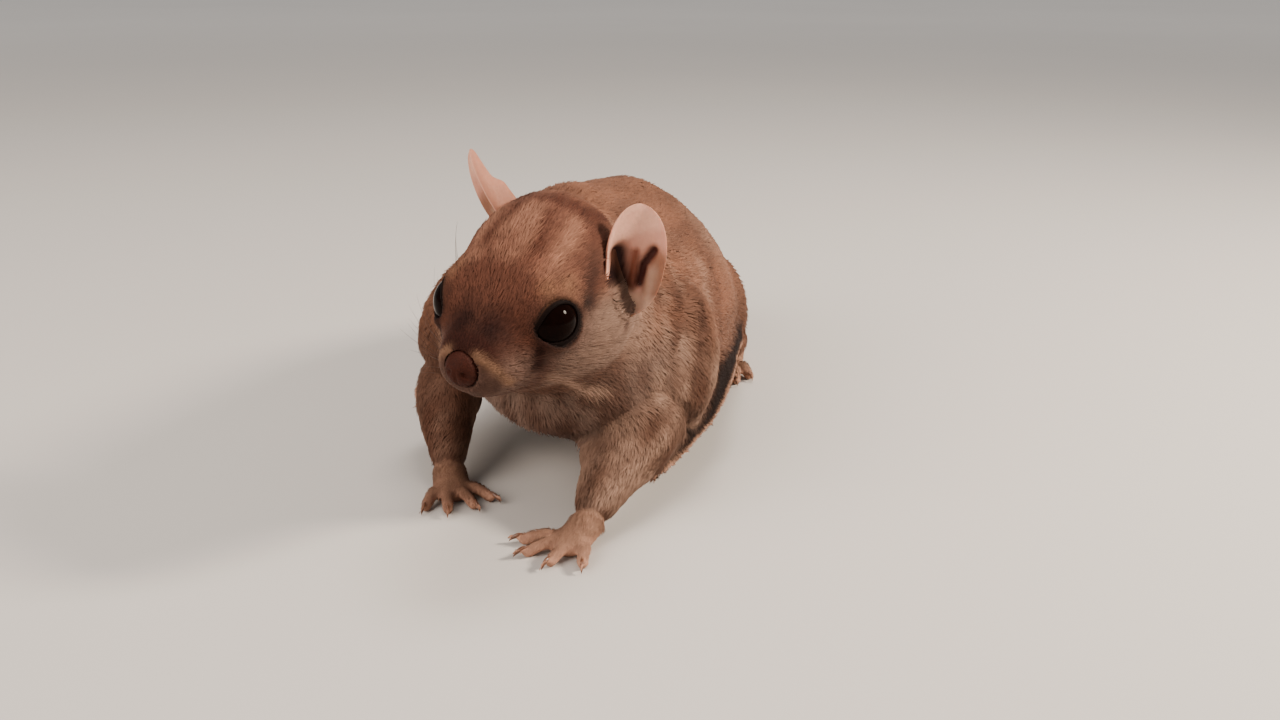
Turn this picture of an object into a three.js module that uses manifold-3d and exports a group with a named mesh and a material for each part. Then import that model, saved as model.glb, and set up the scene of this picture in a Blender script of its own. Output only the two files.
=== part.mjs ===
// A southern flying squirrel at life size, crouched on its four feet with its head turned to its right.
// Millimetres: +Z is up, -Y is the way the body points, and +X is the animal's left. The shapes are
// drawn with the point under the shoulders at X = Y = 0 and the floor at Z = 0, and the whole animal
// is then moved so that its origin is the middle of its footprint on the floor.

import * as THREE from "three";
import { mergeVertices } from "three/addons/utils/BufferGeometryUtils.js";
import Module from "manifold-3d";

const wasm = await Module();
wasm.setup();

// Driving dimensions

const GAP = 0.3; // air between two pieces that touch
const LEFT = new THREE.Vector3(1, 0, 0);
const UP = new THREE.Vector3(0, 0, 1);

const NOSE_TIP = new THREE.Vector3(-4.2, -48, 33);
const HEAD_TURN = 13; // degrees to the animal's right
const HEAD_DROP = 9; // degrees that the nose points down
const HEAD_ROLL = 5; // degrees that the left side hangs lower
const NAPE_CUT = 33; // from the nose tip back to where the head ends
const SHOULDER_CUT = -4; // Y where the neck ends

const EYE_RADIUS = 4.3;
const EYE_AT = new THREE.Vector3(7.5, 13.8, 4); // left eye, in the head's frame
const EYE_LOOK = new THREE.Vector3(0.84, -0.46, 0.28);
const LID_OPEN = 57; // degrees from the middle of the eye to the lid's rim
const LID_THICK = 0.9;

const EAR_LENGTH = 19.5;
const EAR_WIDTH = 12; // along the curl
const EAR_THICK = 0.9;
const EAR_HOLLOW_AT = new THREE.Vector3(-0.4, 10.6, 3.1); // across, along and before the ear's root
const EAR_HOLLOW = new THREE.Vector3(4.8, 8.4, 4.2);

const FOOT_LENGTH = 29;
const TOE_LENGTH = 10.5; // from the end of the hind foot's sole to its longest toe's tip
const MEMBRANE_THICK = 1.8;

const TAIL_LENGTH = 98; // to the tips of the last locks
const TAIL_ROOT = new THREE.Vector3(0, 84, 12);
const LOCKS_A_SIDE = 20;
const LOCK_LENGTH = 15; // of a lock in the middle of the tail
const LOCK_WIDE = 3; // half of its width
const LOCK_THICK = 1.3; // half of its thickness

// A station is a point of a spine with the half width of the section there, and its reach above and
// below the spine.
function station(x, y, z, wide, up, down = up, side = LEFT) {
  return { at: new THREE.Vector3(x, y, z), wide, up, down, side };
}

function power(value, exponent) {
  return Math.sign(value) * Math.abs(value) ** exponent;
}

// The surface round a spine as a function of the share of its length and the angle round it, from the
// side towards the top. Both ends close in a round cap, and each swell pushes the surface out or in.
function surface(stations, { caps = [0.1, 0.1], peak = 1, swells = [] } = {}) {
  const through = (values) => new THREE.CatmullRomCurve3(values);
  const spine = through(stations.map(({ at }) => at));
  const sides = through(stations.map(({ side }) => side));
  const sizes = through(stations.map(({ wide, up, down }) => new THREE.Vector3(wide, up, down)));
  return (t, angle) => {
    const centre = spine.getPoint(t);
    const ahead = spine.getTangent(t);
    const across = sides.getPoint(t);
    across.addScaledVector(ahead, -across.dot(ahead)).normalize();
    const over = new THREE.Vector3().crossVectors(ahead, across);
    if (over.dot(UP) < 0) over.negate();
    const near = Math.min(t / caps[0], (1 - t) / caps[1], 1);
    const { x: wide, y: up, z: down } = sizes.getPoint(t).multiplyScalar(Math.sqrt(near * (2 - near)));
    const bend = Math.sin(angle) > 0 ? peak : 1;
    const outward = new THREE.Vector3()
      .addScaledVector(across, power(Math.cos(angle), bend) * wide)
      .addScaledVector(over, power(Math.sin(angle), bend) * (Math.sin(angle) > 0 ? up : down));
    const point = centre.add(outward);
    outward.normalize();
    const plain = point.clone();
    for (const { at, reach, push } of swells) {
      point.addScaledVector(outward, push * Math.exp(-plain.distanceToSquared(at) / reach ** 2));
    }
    return point;
  };
}

// A closed geometry as a solid with its faces turned outwards.
function solidOf(geometry) {
  const bare = new THREE.BufferGeometry();
  bare.setAttribute("position", geometry.getAttribute("position"));
  bare.setIndex(geometry.index);
  const merged = mergeVertices(bare, 1e-3);
  const vertProperties = merged.attributes.position.array;
  const triVerts = new Uint32Array(merged.index.array);
  const made = new wasm.Manifold(new wasm.Mesh({ numProp: 3, vertProperties, triVerts }));
  if (made.volume() > 0) return made;
  for (let i = 0; i < triVerts.length; i += 3) {
    [triVerts[i + 1], triVerts[i + 2]] = [triVerts[i + 2], triVerts[i + 1]];
  }
  return new wasm.Manifold(new wasm.Mesh({ numProp: 3, vertProperties, triVerts }));
}

function geometryOf(solid) {
  const { vertProperties, triVerts } = solid.getMesh();
  const geometry = new THREE.BufferGeometry();
  geometry.setAttribute("position", new THREE.BufferAttribute(vertProperties, 3));
  geometry.setIndex(new THREE.BufferAttribute(triVerts, 1));
  geometry.computeVertexNormals();
  return geometry;
}

// The solid with its whole surface moved out, to cut a neighbour with.
function grown(solid, distance = GAP) {
  const geometry = geometryOf(solid);
  const { position, normal } = geometry.attributes;
  const point = new THREE.Vector3();
  const outward = new THREE.Vector3();
  for (let i = 0; i < position.count; i += 1) {
    point.fromBufferAttribute(position, i);
    outward.fromBufferAttribute(normal, i);
    position.setXYZ(i, ...point.addScaledVector(outward, distance));
  }
  return solidOf(geometry);
}

// The largest closed surface of a solid, without loose scraps and sealed hollows.
function largest(solid) {
  return solid.decompose().sort((a, b) => b.volume() - a.volume())[0];
}

function above(solid, height) {
  return solid.trimByPlane([0, 0, 1], height);
}

// A sphere's vertices moved one by one, which keeps the surface closed.
function reshaped(geometry, move) {
  const { position } = geometry.attributes;
  const point = new THREE.Vector3();
  for (let i = 0; i < position.count; i += 1) {
    point.fromBufferAttribute(position, i);
    position.setXYZ(i, ...move(point));
  }
  return solidOf(geometry);
}

function loft(stations, { around = 16, along = 16, ...shape } = {}) {
  const at = surface(stations, shape);
  const ball = new THREE.SphereGeometry(1, around, along);
  return reshaped(ball, ({ x, y, z }) => at((1 - y) / 2, Math.atan2(z, x)));
}

function ellipsoid(centre, radii, around = 16, along = 12) {
  const ball = new THREE.SphereGeometry(1, around, along);
  return reshaped(ball, (point) => point.clone().multiply(radii).add(centre));
}

function tube(points, radius, steps) {
  const section = new THREE.Shape().absarc(0, 0, radius, 0, 2 * Math.PI);
  const extrudePath = new THREE.CatmullRomCurve3(points);
  return solidOf(new THREE.ExtrudeGeometry(section, { extrudePath, steps, curveSegments: 2 }));
}

function mirrored(solid) {
  return solid.mirror([1, 0, 0]);
}

// The head's frame has the nose tip at its origin, +Y towards the nape, +X to the left and +Z up.
const headFrame = new THREE.Matrix4()
  .makeRotationFromEuler(
    new THREE.Euler(
      THREE.MathUtils.degToRad(HEAD_DROP),
      THREE.MathUtils.degToRad(HEAD_ROLL),
      THREE.MathUtils.degToRad(-HEAD_TURN),
      "ZXY",
    ),
  )
  .setPosition(NOSE_TIP);

function onHead(solid) {
  return solid.transform(headFrame.elements);
}

// Head

const HEAD_STATIONS = [
  station(0, 0.3, 0.1, 2.6, 2.5, 2.7),
  station(0, 3, 0.2, 4.6, 4.2, 4.8),
  station(0, 7, 0.3, 6.8, 6.5, 7.4),
  station(0, 11, 0.4, 9.3, 9.7, 9),
  station(0, 16, 0.6, 11.5, 13.4, 10.8),
  station(0, 21, 0.8, 12.8, 16, 12),
  station(0, 26, 0.8, 13.8, 17.2, 12.8),
  station(0, 31, 0.4, 13.5, 16.8, 12.5),
  station(0, 36, -0.4, 11.8, 14, 11),
  station(0, 40, -1, 8, 9, 8),
  station(0, 43, -1.5, 5, 5, 5),
];

function pair(x, y, z, reach, push) {
  return [-1, 1].map((side) => ({ at: new THREE.Vector3(side * x, y, z), reach, push }));
}

const HEAD_SHAPE = {
  caps: [0.05, 0.12],
  swells: [
    ...pair(3.6, 4, -2, 3, 0.9), // whisker pads
    ...pair(11, 22, -4, 8, 1.4), // cheeks
    ...pair(7.5, 12, 8, 4, 1.3), // brows
    ...pair(6, 9.5, 4.5, 3, -0.9), // hollows in front of the eyes
    { at: new THREE.Vector3(0, 5, -5.4), reach: 2.2, push: 0.5 }, // chin
  ],
};

// The mouth runs back on each side from under the nose: shares of the head's length and degrees down
// from its side.
const MOUTH_HALF = [
  [0.3, -34],
  [0.22, -42],
  [0.15, -52],
  [0.09, -68],
];

function mouthLine() {
  const at = surface(HEAD_STATIONS, HEAD_SHAPE);
  const point = ([t, degrees]) => at(t, THREE.MathUtils.degToRad(degrees));
  const left = MOUTH_HALF.map(point);
  const right = MOUTH_HALF.map(([t, degrees]) => point([t, -180 - degrees])).reverse();
  const middle = point([0.075, -90]);
  const cleft = [point([0.075, -90]), point([0.04, -90]), point([0.02, -80])];
  return tube([...left, middle, ...right], 0.38, 12).add(tube(cleft, 0.3, 2));
}

function nose() {
  const pad = ellipsoid(new THREE.Vector3(0, 1.6, 0.2), new THREE.Vector3(2.65, 2.2, 2.75), 14, 9);
  const nostril = ellipsoid(
    new THREE.Vector3(1.3, -0.3, 0.1),
    new THREE.Vector3(0.5, 0.8, 0.4),
    6,
    4,
  );
  return largest(pad.subtract(nostril).subtract(mirrored(nostril)));
}

function eyeball(radius) {
  return ellipsoid(EYE_AT, new THREE.Vector3(radius, radius, radius), 16, 10);
}

// The rim of the lids: a ring that hugs the eyeball, drawn out to a corner in front and behind.
function lids() {
  const look = EYE_LOOK.clone().normalize();
  const behind = new THREE.Vector3(0, 1, 0).addScaledVector(look, -look.y).normalize();
  const over = new THREE.Vector3().crossVectors(look, behind);
  const ring = new THREE.TorusGeometry(2, 1, 6, 20);
  return reshaped(ring, ({ x, y, z }) => {
    const turn = Math.atan2(y, x);
    const inTube = Math.hypot(x, y) - 2;
    const corner = Math.abs(Math.cos(turn)) ** 6;
    const open = THREE.MathUtils.degToRad(LID_OPEN + 14 * corner);
    const polar = open + (inTube * LID_THICK) / EYE_RADIUS;
    const reach = EYE_RADIUS + z * LID_THICK;
    return EYE_AT.clone()
      .addScaledVector(behind, reach * Math.sin(polar) * Math.cos(turn))
      .addScaledVector(over, reach * Math.sin(polar) * Math.sin(turn))
      .addScaledVector(look, reach * Math.cos(polar));
  });
}

// An ear's own frame has its root at the origin, +X across it, +Y to its tip and +Z out of its cup.
function earFrame({ root, axis, opening }) {
  const forward = opening.clone().addScaledVector(axis, -opening.dot(axis) / axis.lengthSq());
  return new THREE.Matrix4()
    .makeBasis(
      new THREE.Vector3().crossVectors(axis, forward).normalize(),
      axis.clone().normalize(),
      forward.normalize(),
    )
    .setPosition(root);
}

// An ear is a thin leaf curled round its length, tightly at the root and hardly at the tip.
function ear(placed, { rootCurl = 1.75, tipCurl = 0.6 } = {}) {
  const leaf = new THREE.SphereGeometry(1, 16, 12).rotateX(Math.PI / 2);
  const frame = earFrame(placed);
  return reshaped(leaf, ({ x, y, z }) => {
    const share = (y + 1) / 2;
    const span = Math.sqrt(Math.max(1 - y * y, 0));
    const across = span > 1e-6 ? x / span : 0;
    const halfWidth = (EAR_WIDTH / 2) * span * (0.86 + 0.2 * share);
    const curl = THREE.MathUtils.lerp(rootCurl, tipCurl, share ** 0.7);
    const radius = halfWidth / curl;
    const half = (EAR_THICK / 2) * THREE.MathUtils.clamp(2.4 * z, -1, 1);
    const turn = curl * across;
    return new THREE.Vector3(
      radius * Math.sin(turn) - half * Math.sin(turn),
      EAR_LENGTH * share,
      radius * (1 - Math.cos(turn)) + half * Math.cos(turn) - 1.2 * share ** 2,
    ).applyMatrix4(frame);
  });
}

// The hollow in the side of the head that the cup of an ear opens from.
function earHollow(placed) {
  const frame = earFrame(placed);
  const ball = new THREE.SphereGeometry(1, 16, 12);
  return reshaped(ball, (point) =>
    point.clone().multiply(EAR_HOLLOW).add(EAR_HOLLOW_AT).applyMatrix4(frame),
  );
}

const LEFT_EAR = {
  root: new THREE.Vector3(12.4, 28.9, -2.2),
  axis: new THREE.Vector3(0.09, 0.16, 0.98),
  opening: new THREE.Vector3(0.54, -0.84, 0),
};
const RIGHT_EAR = {
  root: new THREE.Vector3(3.1, 31.2, 6.8),
  axis: new THREE.Vector3(0.7, 0, 0.72),
  opening: new THREE.Vector3(0.8, -0.6, 0),
};

// Trunk and neck, from the rump forward into the head

const TRUNK_STATIONS = [
  station(0, 88, 13.5, 8, 8, 6),
  station(0, 81, 15.5, 13.5, 14, 8.5),
  station(0, 70, 17.5, 18.5, 19, 10),
  station(0, 56, 19, 21.8, 23.4, 10.5),
  station(0, 40, 20.5, 24.2, 26.8, 12),
  station(0, 22, 22, 24.6, 27.6, 13.5),
  station(0, 4, 26, 22.5, 26, 17),
  station(0.5, -8, 30, 19.5, 24.5, 19.5),
  station(2, -17, 33, 15.6, 22, 19.4),
  station(2.8, -24, 36, 12.6, 17, 14.6),
];

// A limb is an upper length, whose root sinks into the trunk, and a lower length from the elbow or
// knee to the paw.
const LEFT_FORELEG = [
  [station(13, 6, 31, 9.5, 9.5), station(17.2, 1, 22.5, 9.4, 9.6), station(16.4, -6, 13.6, 8.2, 7.4)],
  [
    station(15.8, -3.5, 14, 7.4, 7),
    station(13.6, -14, 11.4, 7.6, 7.2),
    station(11.6, -24, 7.2, 4.9, 4.4),
    station(10.6, -30.7, 4, 3.2, 2.6),
  ],
];
const RIGHT_FORELEG = [
  [station(-14, 5, 33, 9.4, 9.4), station(-19.6, 2, 25.5, 9.6, 9.8), station(-23.6, 1.4, 16.8, 7.2, 7.2)],
  [
    station(-23.6, 3, 18, 6.6, 6.6),
    station(-22.8, -4.4, 11.4, 5.9, 5.7),
    station(-20.4, -11.2, 7, 4.1, 3.9),
    station(-19, -15, 4.2, 3.2, 2.6),
  ],
];
const LEFT_HINDLEG = [
  [station(10, 71, 19, 8.6, 9), station(15.8, 61, 15.6, 8, 9), station(19.2, 50.6, 11, 5.8, 6.2)],
  [station(19.6, 49, 10.6, 5, 5.4), station(19.6, 60, 7.4, 4.7, 4.6), station(18.6, 73, 4, 3.4, 3)],
];

function limb([upper, lower]) {
  const size = { around: 12, along: 10, caps: [0.16, 0.12] };
  return loft(upper, size).add(loft(lower, size));
}

const HAND = { sole: 5.6, breadth: 3.3, depth: 2.6, thick: 1.15, claw: 2 };
const LEFT_HAND = {
  ...HAND,
  heel: new THREE.Vector3(10.6, -30.7, 3.6),
  heading: 32,
  digits: [
    { off: -2.1, back: 0.6, spread: 48, length: 7.2 },
    { off: -0.8, back: 0, spread: 20, length: 7.4 },
    { off: 0.8, back: 0, spread: -12, length: 6.8 },
    { off: 2.3, back: 1.4, spread: -42, length: 6.6 },
  ],
};
const RIGHT_HAND = {
  ...HAND,
  heel: new THREE.Vector3(-19, -15, 3.6),
  heading: -26,
  digits: [
    { off: -2.3, back: 1.2, spread: 24, length: 7.4 },
    { off: -0.8, back: 0, spread: 6, length: 7.6 },
    { off: 0.8, back: 0, spread: -20, length: 7.2 },
    { off: 2.2, back: 1.2, spread: -40, length: 7 },
  ],
};
const LEFT_FOOT = {
  heel: new THREE.Vector3(18.6, 74.5, 2.4),
  heading: -4,
  sole: FOOT_LENGTH - TOE_LENGTH,
  breadth: 3.6,
  depth: 2.7,
  thick: 1.3,
  claw: 2,
  digits: [
    { off: -3, back: 3.2, spread: 22, length: 6.6 },
    { off: -1.6, back: 0.4, spread: 10, length: 8.2 },
    { off: 0, back: 0, spread: 0, length: 8.6 },
    { off: 1.6, back: 0.6, spread: -10, length: 8.2 },
    { off: 3, back: 2.6, spread: -24, length: 6.8 },
  ],
};

// A paw flat on the floor: a sole from the heel or wrist to the roots of the digits, and digits with a
// low knuckle, a pad and a hooked claw. Headings and spreads are degrees, positive to the right.
function paw({ heel, heading, sole, breadth, depth, thick, claw, digits }) {
  const ahead = (degrees) => {
    const turn = THREE.MathUtils.degToRad(degrees);
    return new THREE.Vector3(-Math.sin(turn), -Math.cos(turn), 0);
  };
  const forward = ahead(heading);
  const side = new THREE.Vector3().crossVectors(forward, UP).negate();
  const on = (along, off, height) =>
    heel.clone().setZ(height).addScaledVector(forward, along).addScaledVector(side, off);
  const flat = (at, wide, up) => ({ at, wide, up, down: up, side });
  let whole = loft(
    [
      flat(on(-2, 0, heel.z), 2.4, depth * 0.8),
      flat(on(0.4, 0, heel.z - 0.3), breadth * 0.86, depth),
      flat(on(sole * 0.5, 0, depth * 0.68), breadth * 0.94, depth * 0.82),
      flat(on(sole, 0, depth * 0.5), breadth, depth * 0.66),
      flat(on(sole + 2, 0, depth * 0.42), breadth * 0.8, depth * 0.5),
    ],
    { around: 10, along: 8, caps: [0.14, 0.16] },
  );
  for (const { off, back, spread, length } of digits) {
    const root = on(sole - back - 1, off, thick * 1.1);
    const out = ahead(heading + spread);
    const across = new THREE.Vector3().crossVectors(out, UP).negate();
    const joint = (share, height, radius) => ({
      at: root.clone().setZ(height).addScaledVector(out, length * share),
      wide: radius,
      up: radius,
      down: radius,
      side: across,
    });
    const digit = loft(
      [
        joint(0, thick * 1.1, thick),
        joint(0.45, thick * 1.5, thick * 0.92),
        joint(0.75, thick * 0.95, thick * 0.86),
        joint(1, thick * 0.58, thick * 0.95),
      ],
      { around: 6, along: 6, caps: [0.17, 0.18] },
    );
    const hook = loft(
      [
        joint(0.86, thick * 1.2, thick * 0.55),
        joint(1 + (0.6 * claw) / length, thick * 1.25, thick * 0.36),
        joint(1 + claw / length, thick * 0.45, thick * 0.14),
      ],
      { around: 4, along: 4, caps: [0.2, 0.12] },
    );
    whole = whole.add(digit).add(hook);
  }
  return largest(above(whole, 0));
}

// Flight membrane, at rest: a loose fold along the flank from the wrist to the ankle. Each pair is a
// point of the line where it leaves the body and the point of its free edge below and outside it.
const FLANK_FOLD = [
  [[21, 16, 19], [27, 15, 12.5]],
  [[21, 29, 18.5], [26, 28, 12.5]],
  [[20.5, 42, 17], [25, 42, 11]],
  [[19, 54, 14], [24.2, 54, 8.5]],
  [[17.5, 63, 10], [22.8, 64, 5.5]],
];
const LEFT_FOLD = [
  [[13, -18, 8], [15.5, -22, 4.5]],
  [[15, -8, 13], [20.5, -10, 5.5]],
  [[19, 4, 18], [25, 3, 8.5]],
  ...FLANK_FOLD,
];
const RIGHT_FOLD = [
  [[19, -7, 8], [22, -9.5, 5]],
  [[22, 0, 14], [31.5, 0.5, 12]],
  [[21, 8, 18], [29, 8, 12]],
  ...FLANK_FOLD,
];

function membrane(fold) {
  const thick = MEMBRANE_THICK / 2;
  const stations = fold.map((ends) => {
    const [root, edge] = ends.map((point) => new THREE.Vector3(...point));
    const half = edge.sub(root).multiplyScalar(0.5);
    const side = half.clone().normalize();
    return { at: root.add(half), wide: half.length(), up: thick, down: thick, side };
  });
  return loft(stations, { around: 10, along: 20, caps: [0.08, 0.08] });
}

// Tail, laid back on the floor: a flat core with tapered locks of hair on both sides, which lean back
// like the barbs of a feather and close in a fan at the tip.

const TAIL_CORE = [
  station(0, TAIL_ROOT.y - 4, TAIL_ROOT.z + 2, 6, 5),
  station(-0.6, TAIL_ROOT.y + 8, 8.5, 6, 5.4, 8.4),
  station(-3, TAIL_ROOT.y + 22, 4.6, 5.2, 4.2, 4.8),
  station(-8, TAIL_ROOT.y + 41, 3, 4.8, 3.2, 3.2),
  station(-13.4, TAIL_ROOT.y + 62, 2.6, 4.4, 2.8, 2.8),
  station(-17, TAIL_ROOT.y + 78, 2.1, 3.6, 2.2, 2.3),
  station(-18.6, TAIL_ROOT.y + TAIL_LENGTH - 12, 1.7, 2, 1.5, 1.8),
];
const LOCK_SPAN = [0.15, 0.97]; // shares of the core's length at the first lock and the last
const LOCK_LEANS = [34, 80]; // degrees back from straight out, at the first lock and the last

// A flat lock from its root in the core to its tip on the floor, bent back along its length.
function lock(root, out, back, length) {
  const side = new THREE.Vector3().crossVectors(out, UP);
  const along = (share, height, size) => ({
    at: root
      .clone()
      .addScaledVector(out, length * share)
      .addScaledVector(back, 0.28 * length * share ** 2)
      .setZ(height),
    wide: LOCK_WIDE * size,
    up: LOCK_THICK * Math.sqrt(size),
    down: LOCK_THICK * Math.sqrt(size),
    side,
  });
  const stations = [
    along(0, root.z, 0.7),
    along(0.4, root.z * 0.8, 0.95),
    along(0.75, root.z * 0.55, 0.9),
    along(1, 0.8, 0.3),
  ];
  return loft(stations, { around: 4, along: 5, caps: [0.2, 0.12] });
}

function tail() {
  const spine = new THREE.CatmullRomCurve3(TAIL_CORE.map(({ at }) => at));
  let whole = loft(TAIL_CORE, { around: 14, along: 18, caps: [0.06, 0.12] });
  THREE.MathUtils.seededRandom(7);
  const vary = (most) => (THREE.MathUtils.seededRandom() * 2 - 1) * most;
  for (let i = 0; i < LOCKS_A_SIDE; i += 1) {
    const share = i / (LOCKS_A_SIDE - 1);
    const t = THREE.MathUtils.lerp(...LOCK_SPAN, share);
    const back = spine.getTangent(t).setZ(0).normalize();
    const full = Math.min(0.62 + 1.4 * share, 1, 1.75 - share);
    for (const side of [-1, 1]) {
      const lean = THREE.MathUtils.degToRad(THREE.MathUtils.lerp(...LOCK_LEANS, share ** 1.8) + vary(3));
      const across = new THREE.Vector3().crossVectors(back, UP).multiplyScalar(side);
      const out = across.multiplyScalar(Math.cos(lean)).addScaledVector(back, Math.sin(lean));
      const root = spine.getPoint(t + vary(0.006));
      root.z = Math.max(root.z * 0.8 + vary(0.4), 1.3);
      whole = whole.add(lock(root, out, back, LOCK_LENGTH * full * (1 + vary(0.1))));
    }
  }
  return above(whole, 0);
}

// Colours of the coat and the bare skin

const fur = new THREE.MeshStandardMaterial({ color: 0x8f6a55, roughness: 0.95 });
const paleFur = new THREE.MeshStandardMaterial({ color: 0xa58a74, roughness: 0.95 });
const darkFur = new THREE.MeshStandardMaterial({ color: 0x4a352b, roughness: 0.95 });
const bareSkin = new THREE.MeshStandardMaterial({ color: 0xc08f7c, roughness: 0.7 });
const noseSkin = new THREE.MeshStandardMaterial({ color: 0x5a3226, roughness: 0.5 });
const cornea = new THREE.MeshStandardMaterial({ color: 0x050304, roughness: 0.05 });

// Assembly

const animal = new THREE.Group();

function add(name, solid, material) {
  const whole = largest(solidOf(geometryOf(largest(solid))));
  const mesh = new THREE.Mesh(geometryOf(whole), material);
  mesh.name = name;
  animal.add(mesh);
}

const trunk = loft(TRUNK_STATIONS, { around: 24, along: 28, caps: [0.08, 0.08], peak: 1.22 });
const skull = loft(HEAD_STATIONS, { around: 26, along: 26, ...HEAD_SHAPE })
  .subtract(earHollow(LEFT_EAR))
  .subtract(mirrored(earHollow(RIGHT_EAR)));
const nosePad = nose();
const socket = eyeball(EYE_RADIUS + GAP);
const rims = lids().add(mirrored(lids()));
const face = skull
  .add(rims)
  .subtract(socket)
  .subtract(mirrored(socket))
  .subtract(mouthLine())
  .subtract(grown(nosePad));

// The nape cut is square to the head, and the shoulder cut is square to the body.
const nape = new THREE.Vector3(0, NAPE_CUT, 0).applyMatrix4(headFrame);
const noseWard = new THREE.Vector3(0, -1, 0).transformDirection(headFrame);
const napeWard = noseWard.clone().negate();
const napeOffset = nape.dot(noseWard);
const head = onHead(face).trimByPlane([...noseWard], napeOffset + GAP / 2);
const occiput = onHead(skull).trimByPlane([...napeWard], -napeOffset + GAP / 2);
const flesh = trunk.add(occiput);
const neck = flesh
  .subtract(grown(onHead(skull).trimByPlane([...noseWard], napeOffset + GAP / 2)))
  .trimByPlane([0, -1, 0], -SHOULDER_CUT + GAP / 2);
const torso = flesh.trimByPlane([0, 1, 0], SHOULDER_CUT + GAP / 2);

const bodyCut = grown(trunk.add(onHead(skull)));
const headCut = grown(skull);
const leftEar = ear(LEFT_EAR).subtract(headCut);
const rightEar = mirrored(ear(RIGHT_EAR).subtract(headCut));

const hands = { left: paw(LEFT_HAND), right: paw(RIGHT_HAND) };
const feet = { left: paw(LEFT_FOOT) };
feet.right = mirrored(feet.left);
const forelegs = {
  left: limb(LEFT_FORELEG).subtract(bodyCut).subtract(grown(hands.left)),
  right: limb(RIGHT_FORELEG).subtract(bodyCut).subtract(grown(hands.right)),
};
const hindlegs = {
  left: limb(LEFT_HINDLEG).subtract(bodyCut).subtract(grown(feet.left)),
};
hindlegs.right = mirrored(hindlegs.left);

const folds = { left: membrane(LEFT_FOLD), right: mirrored(membrane(RIGHT_FOLD)) };

add("head", head, fur);
add("nose", onHead(nosePad), noseSkin);
add("eye_left", onHead(eyeball(EYE_RADIUS)), cornea);
add("eye_right", onHead(mirrored(eyeball(EYE_RADIUS))), cornea);
add("ear_left", onHead(leftEar), bareSkin);
add("ear_right", onHead(rightEar), bareSkin);
add("neck", neck, fur);
add("torso", torso, fur);
for (const side of ["left", "right"]) {
  add(`hand_${side}`, hands[side], bareSkin);
  add(`foreleg_${side}`, forelegs[side], paleFur);
  add(`foot_${side}`, feet[side], bareSkin);
  add(`hindleg_${side}`, hindlegs[side], paleFur);
  const sides = [bodyCut, ...[forelegs, hands, hindlegs, feet].map((all) => grown(all[side]))];
  add(`patagium_${side}`, sides.reduce((fold, body) => fold.subtract(body), folds[side]), darkFur);
}
add("tail", tail().subtract(bodyCut), darkFur);

// The origin goes to the middle of the footprint on the floor.
const box = new THREE.Box3().setFromObject(animal);
const middle = box.getCenter(new THREE.Vector3());
animal.position.set(-middle.x, -middle.y, -box.min.z);

export default animal;
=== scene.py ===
import math

import bmesh
import bpy
import numpy as np
from mathutils import Matrix, Vector, kdtree


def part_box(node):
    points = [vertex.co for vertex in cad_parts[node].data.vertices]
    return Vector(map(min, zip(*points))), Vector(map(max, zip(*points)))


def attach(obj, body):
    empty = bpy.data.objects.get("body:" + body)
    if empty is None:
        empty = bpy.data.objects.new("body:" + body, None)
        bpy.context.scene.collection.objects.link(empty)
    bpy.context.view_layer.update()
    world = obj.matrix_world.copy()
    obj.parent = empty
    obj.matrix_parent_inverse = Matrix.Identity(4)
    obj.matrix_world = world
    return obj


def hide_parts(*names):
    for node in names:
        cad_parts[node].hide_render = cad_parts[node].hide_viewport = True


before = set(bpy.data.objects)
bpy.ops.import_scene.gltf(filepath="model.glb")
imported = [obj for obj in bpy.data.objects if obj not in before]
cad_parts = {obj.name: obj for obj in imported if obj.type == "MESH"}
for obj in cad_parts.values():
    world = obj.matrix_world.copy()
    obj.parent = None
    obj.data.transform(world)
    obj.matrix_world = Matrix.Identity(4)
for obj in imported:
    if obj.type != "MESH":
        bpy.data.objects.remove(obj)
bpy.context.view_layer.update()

# Camera. It stands where the photo was taken from: in front and to the left of the animal, five
# centimetres above its eye, tipped down. Its place is given from the left eye, on which the lens was
# matched.
MM = 0.001
CAMERA_FROM_EYE = np.array((50.1, -170.8, 51.6)) * MM
CAMERA_TURN = 12.0  # degrees round the animal's left
CAMERA_DROP = 18.0  # degrees below the horizon
SENSOR = 36.0  # mm wide
LENS = 35.16  # mm
NEAREST = 10 * MM  # nearer things aren't drawn


def middle(node):
    low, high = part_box(node)
    return np.array((low + high) / 2)


def in_scene(thing):
    bpy.context.scene.collection.objects.link(thing)
    return thing


left_eye = middle("eye_left")
right_eye = middle("eye_right")
camera = in_scene(bpy.data.objects.new("camera", bpy.data.cameras.new("camera")))
camera.data.lens = LENS
camera.data.sensor_width = SENSOR
camera.data.clip_start = NEAREST
camera.location = left_eye + CAMERA_FROM_EYE
camera.rotation_euler = (math.radians(90 - CAMERA_DROP), 0, math.radians(CAMERA_TURN))
bpy.context.scene.camera = camera


# Studio. A plain pale floor that runs out of the picture, painted paler far off as painted light where
# the lamps no longer reach, a small warm key lamp on the animal's left, a soft fill beside the camera, a
# lamp overhead and a pale room all round. Each lamp's place is given in metres from the floor under the
# left eye.
FLOOR_ACROSS = 12.0
FLOOR_COLOUR = (0.5, 0.48, 0.46)
# Painted light: the far colour lifts the floor where the lamps' light falls off.
FLOOR_FAR_PAINTED_LIGHT = (0.86, 0.83, 0.8)  # paler far off, where the lamps no longer reach
FLOOR_FADE = (0.4, 1.8)  # m from the animal, where the floor starts and ends to turn paler
LIGHTS = {
    "key": {"place": (0.44, 0.09, 0.29), "across": 0.1, "watts": 5.5, "colour": (1.0, 0.85, 0.7)},
    "fill": {"place": (-0.42, -0.52, 0.42), "across": 0.7, "watts": 9.0, "colour": (1.0, 0.87, 0.76)},
    "back": {"place": (0.06, 0.3, 0.9), "across": 0.4, "watts": 4.8, "colour": (1.0, 0.9, 0.8)},
}
EVEN_LIGHT = 0.6  # watts a square metre, from overhead, so that the floor is lit to its far edge
EVEN_SPREAD = 60.0  # degrees
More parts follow.
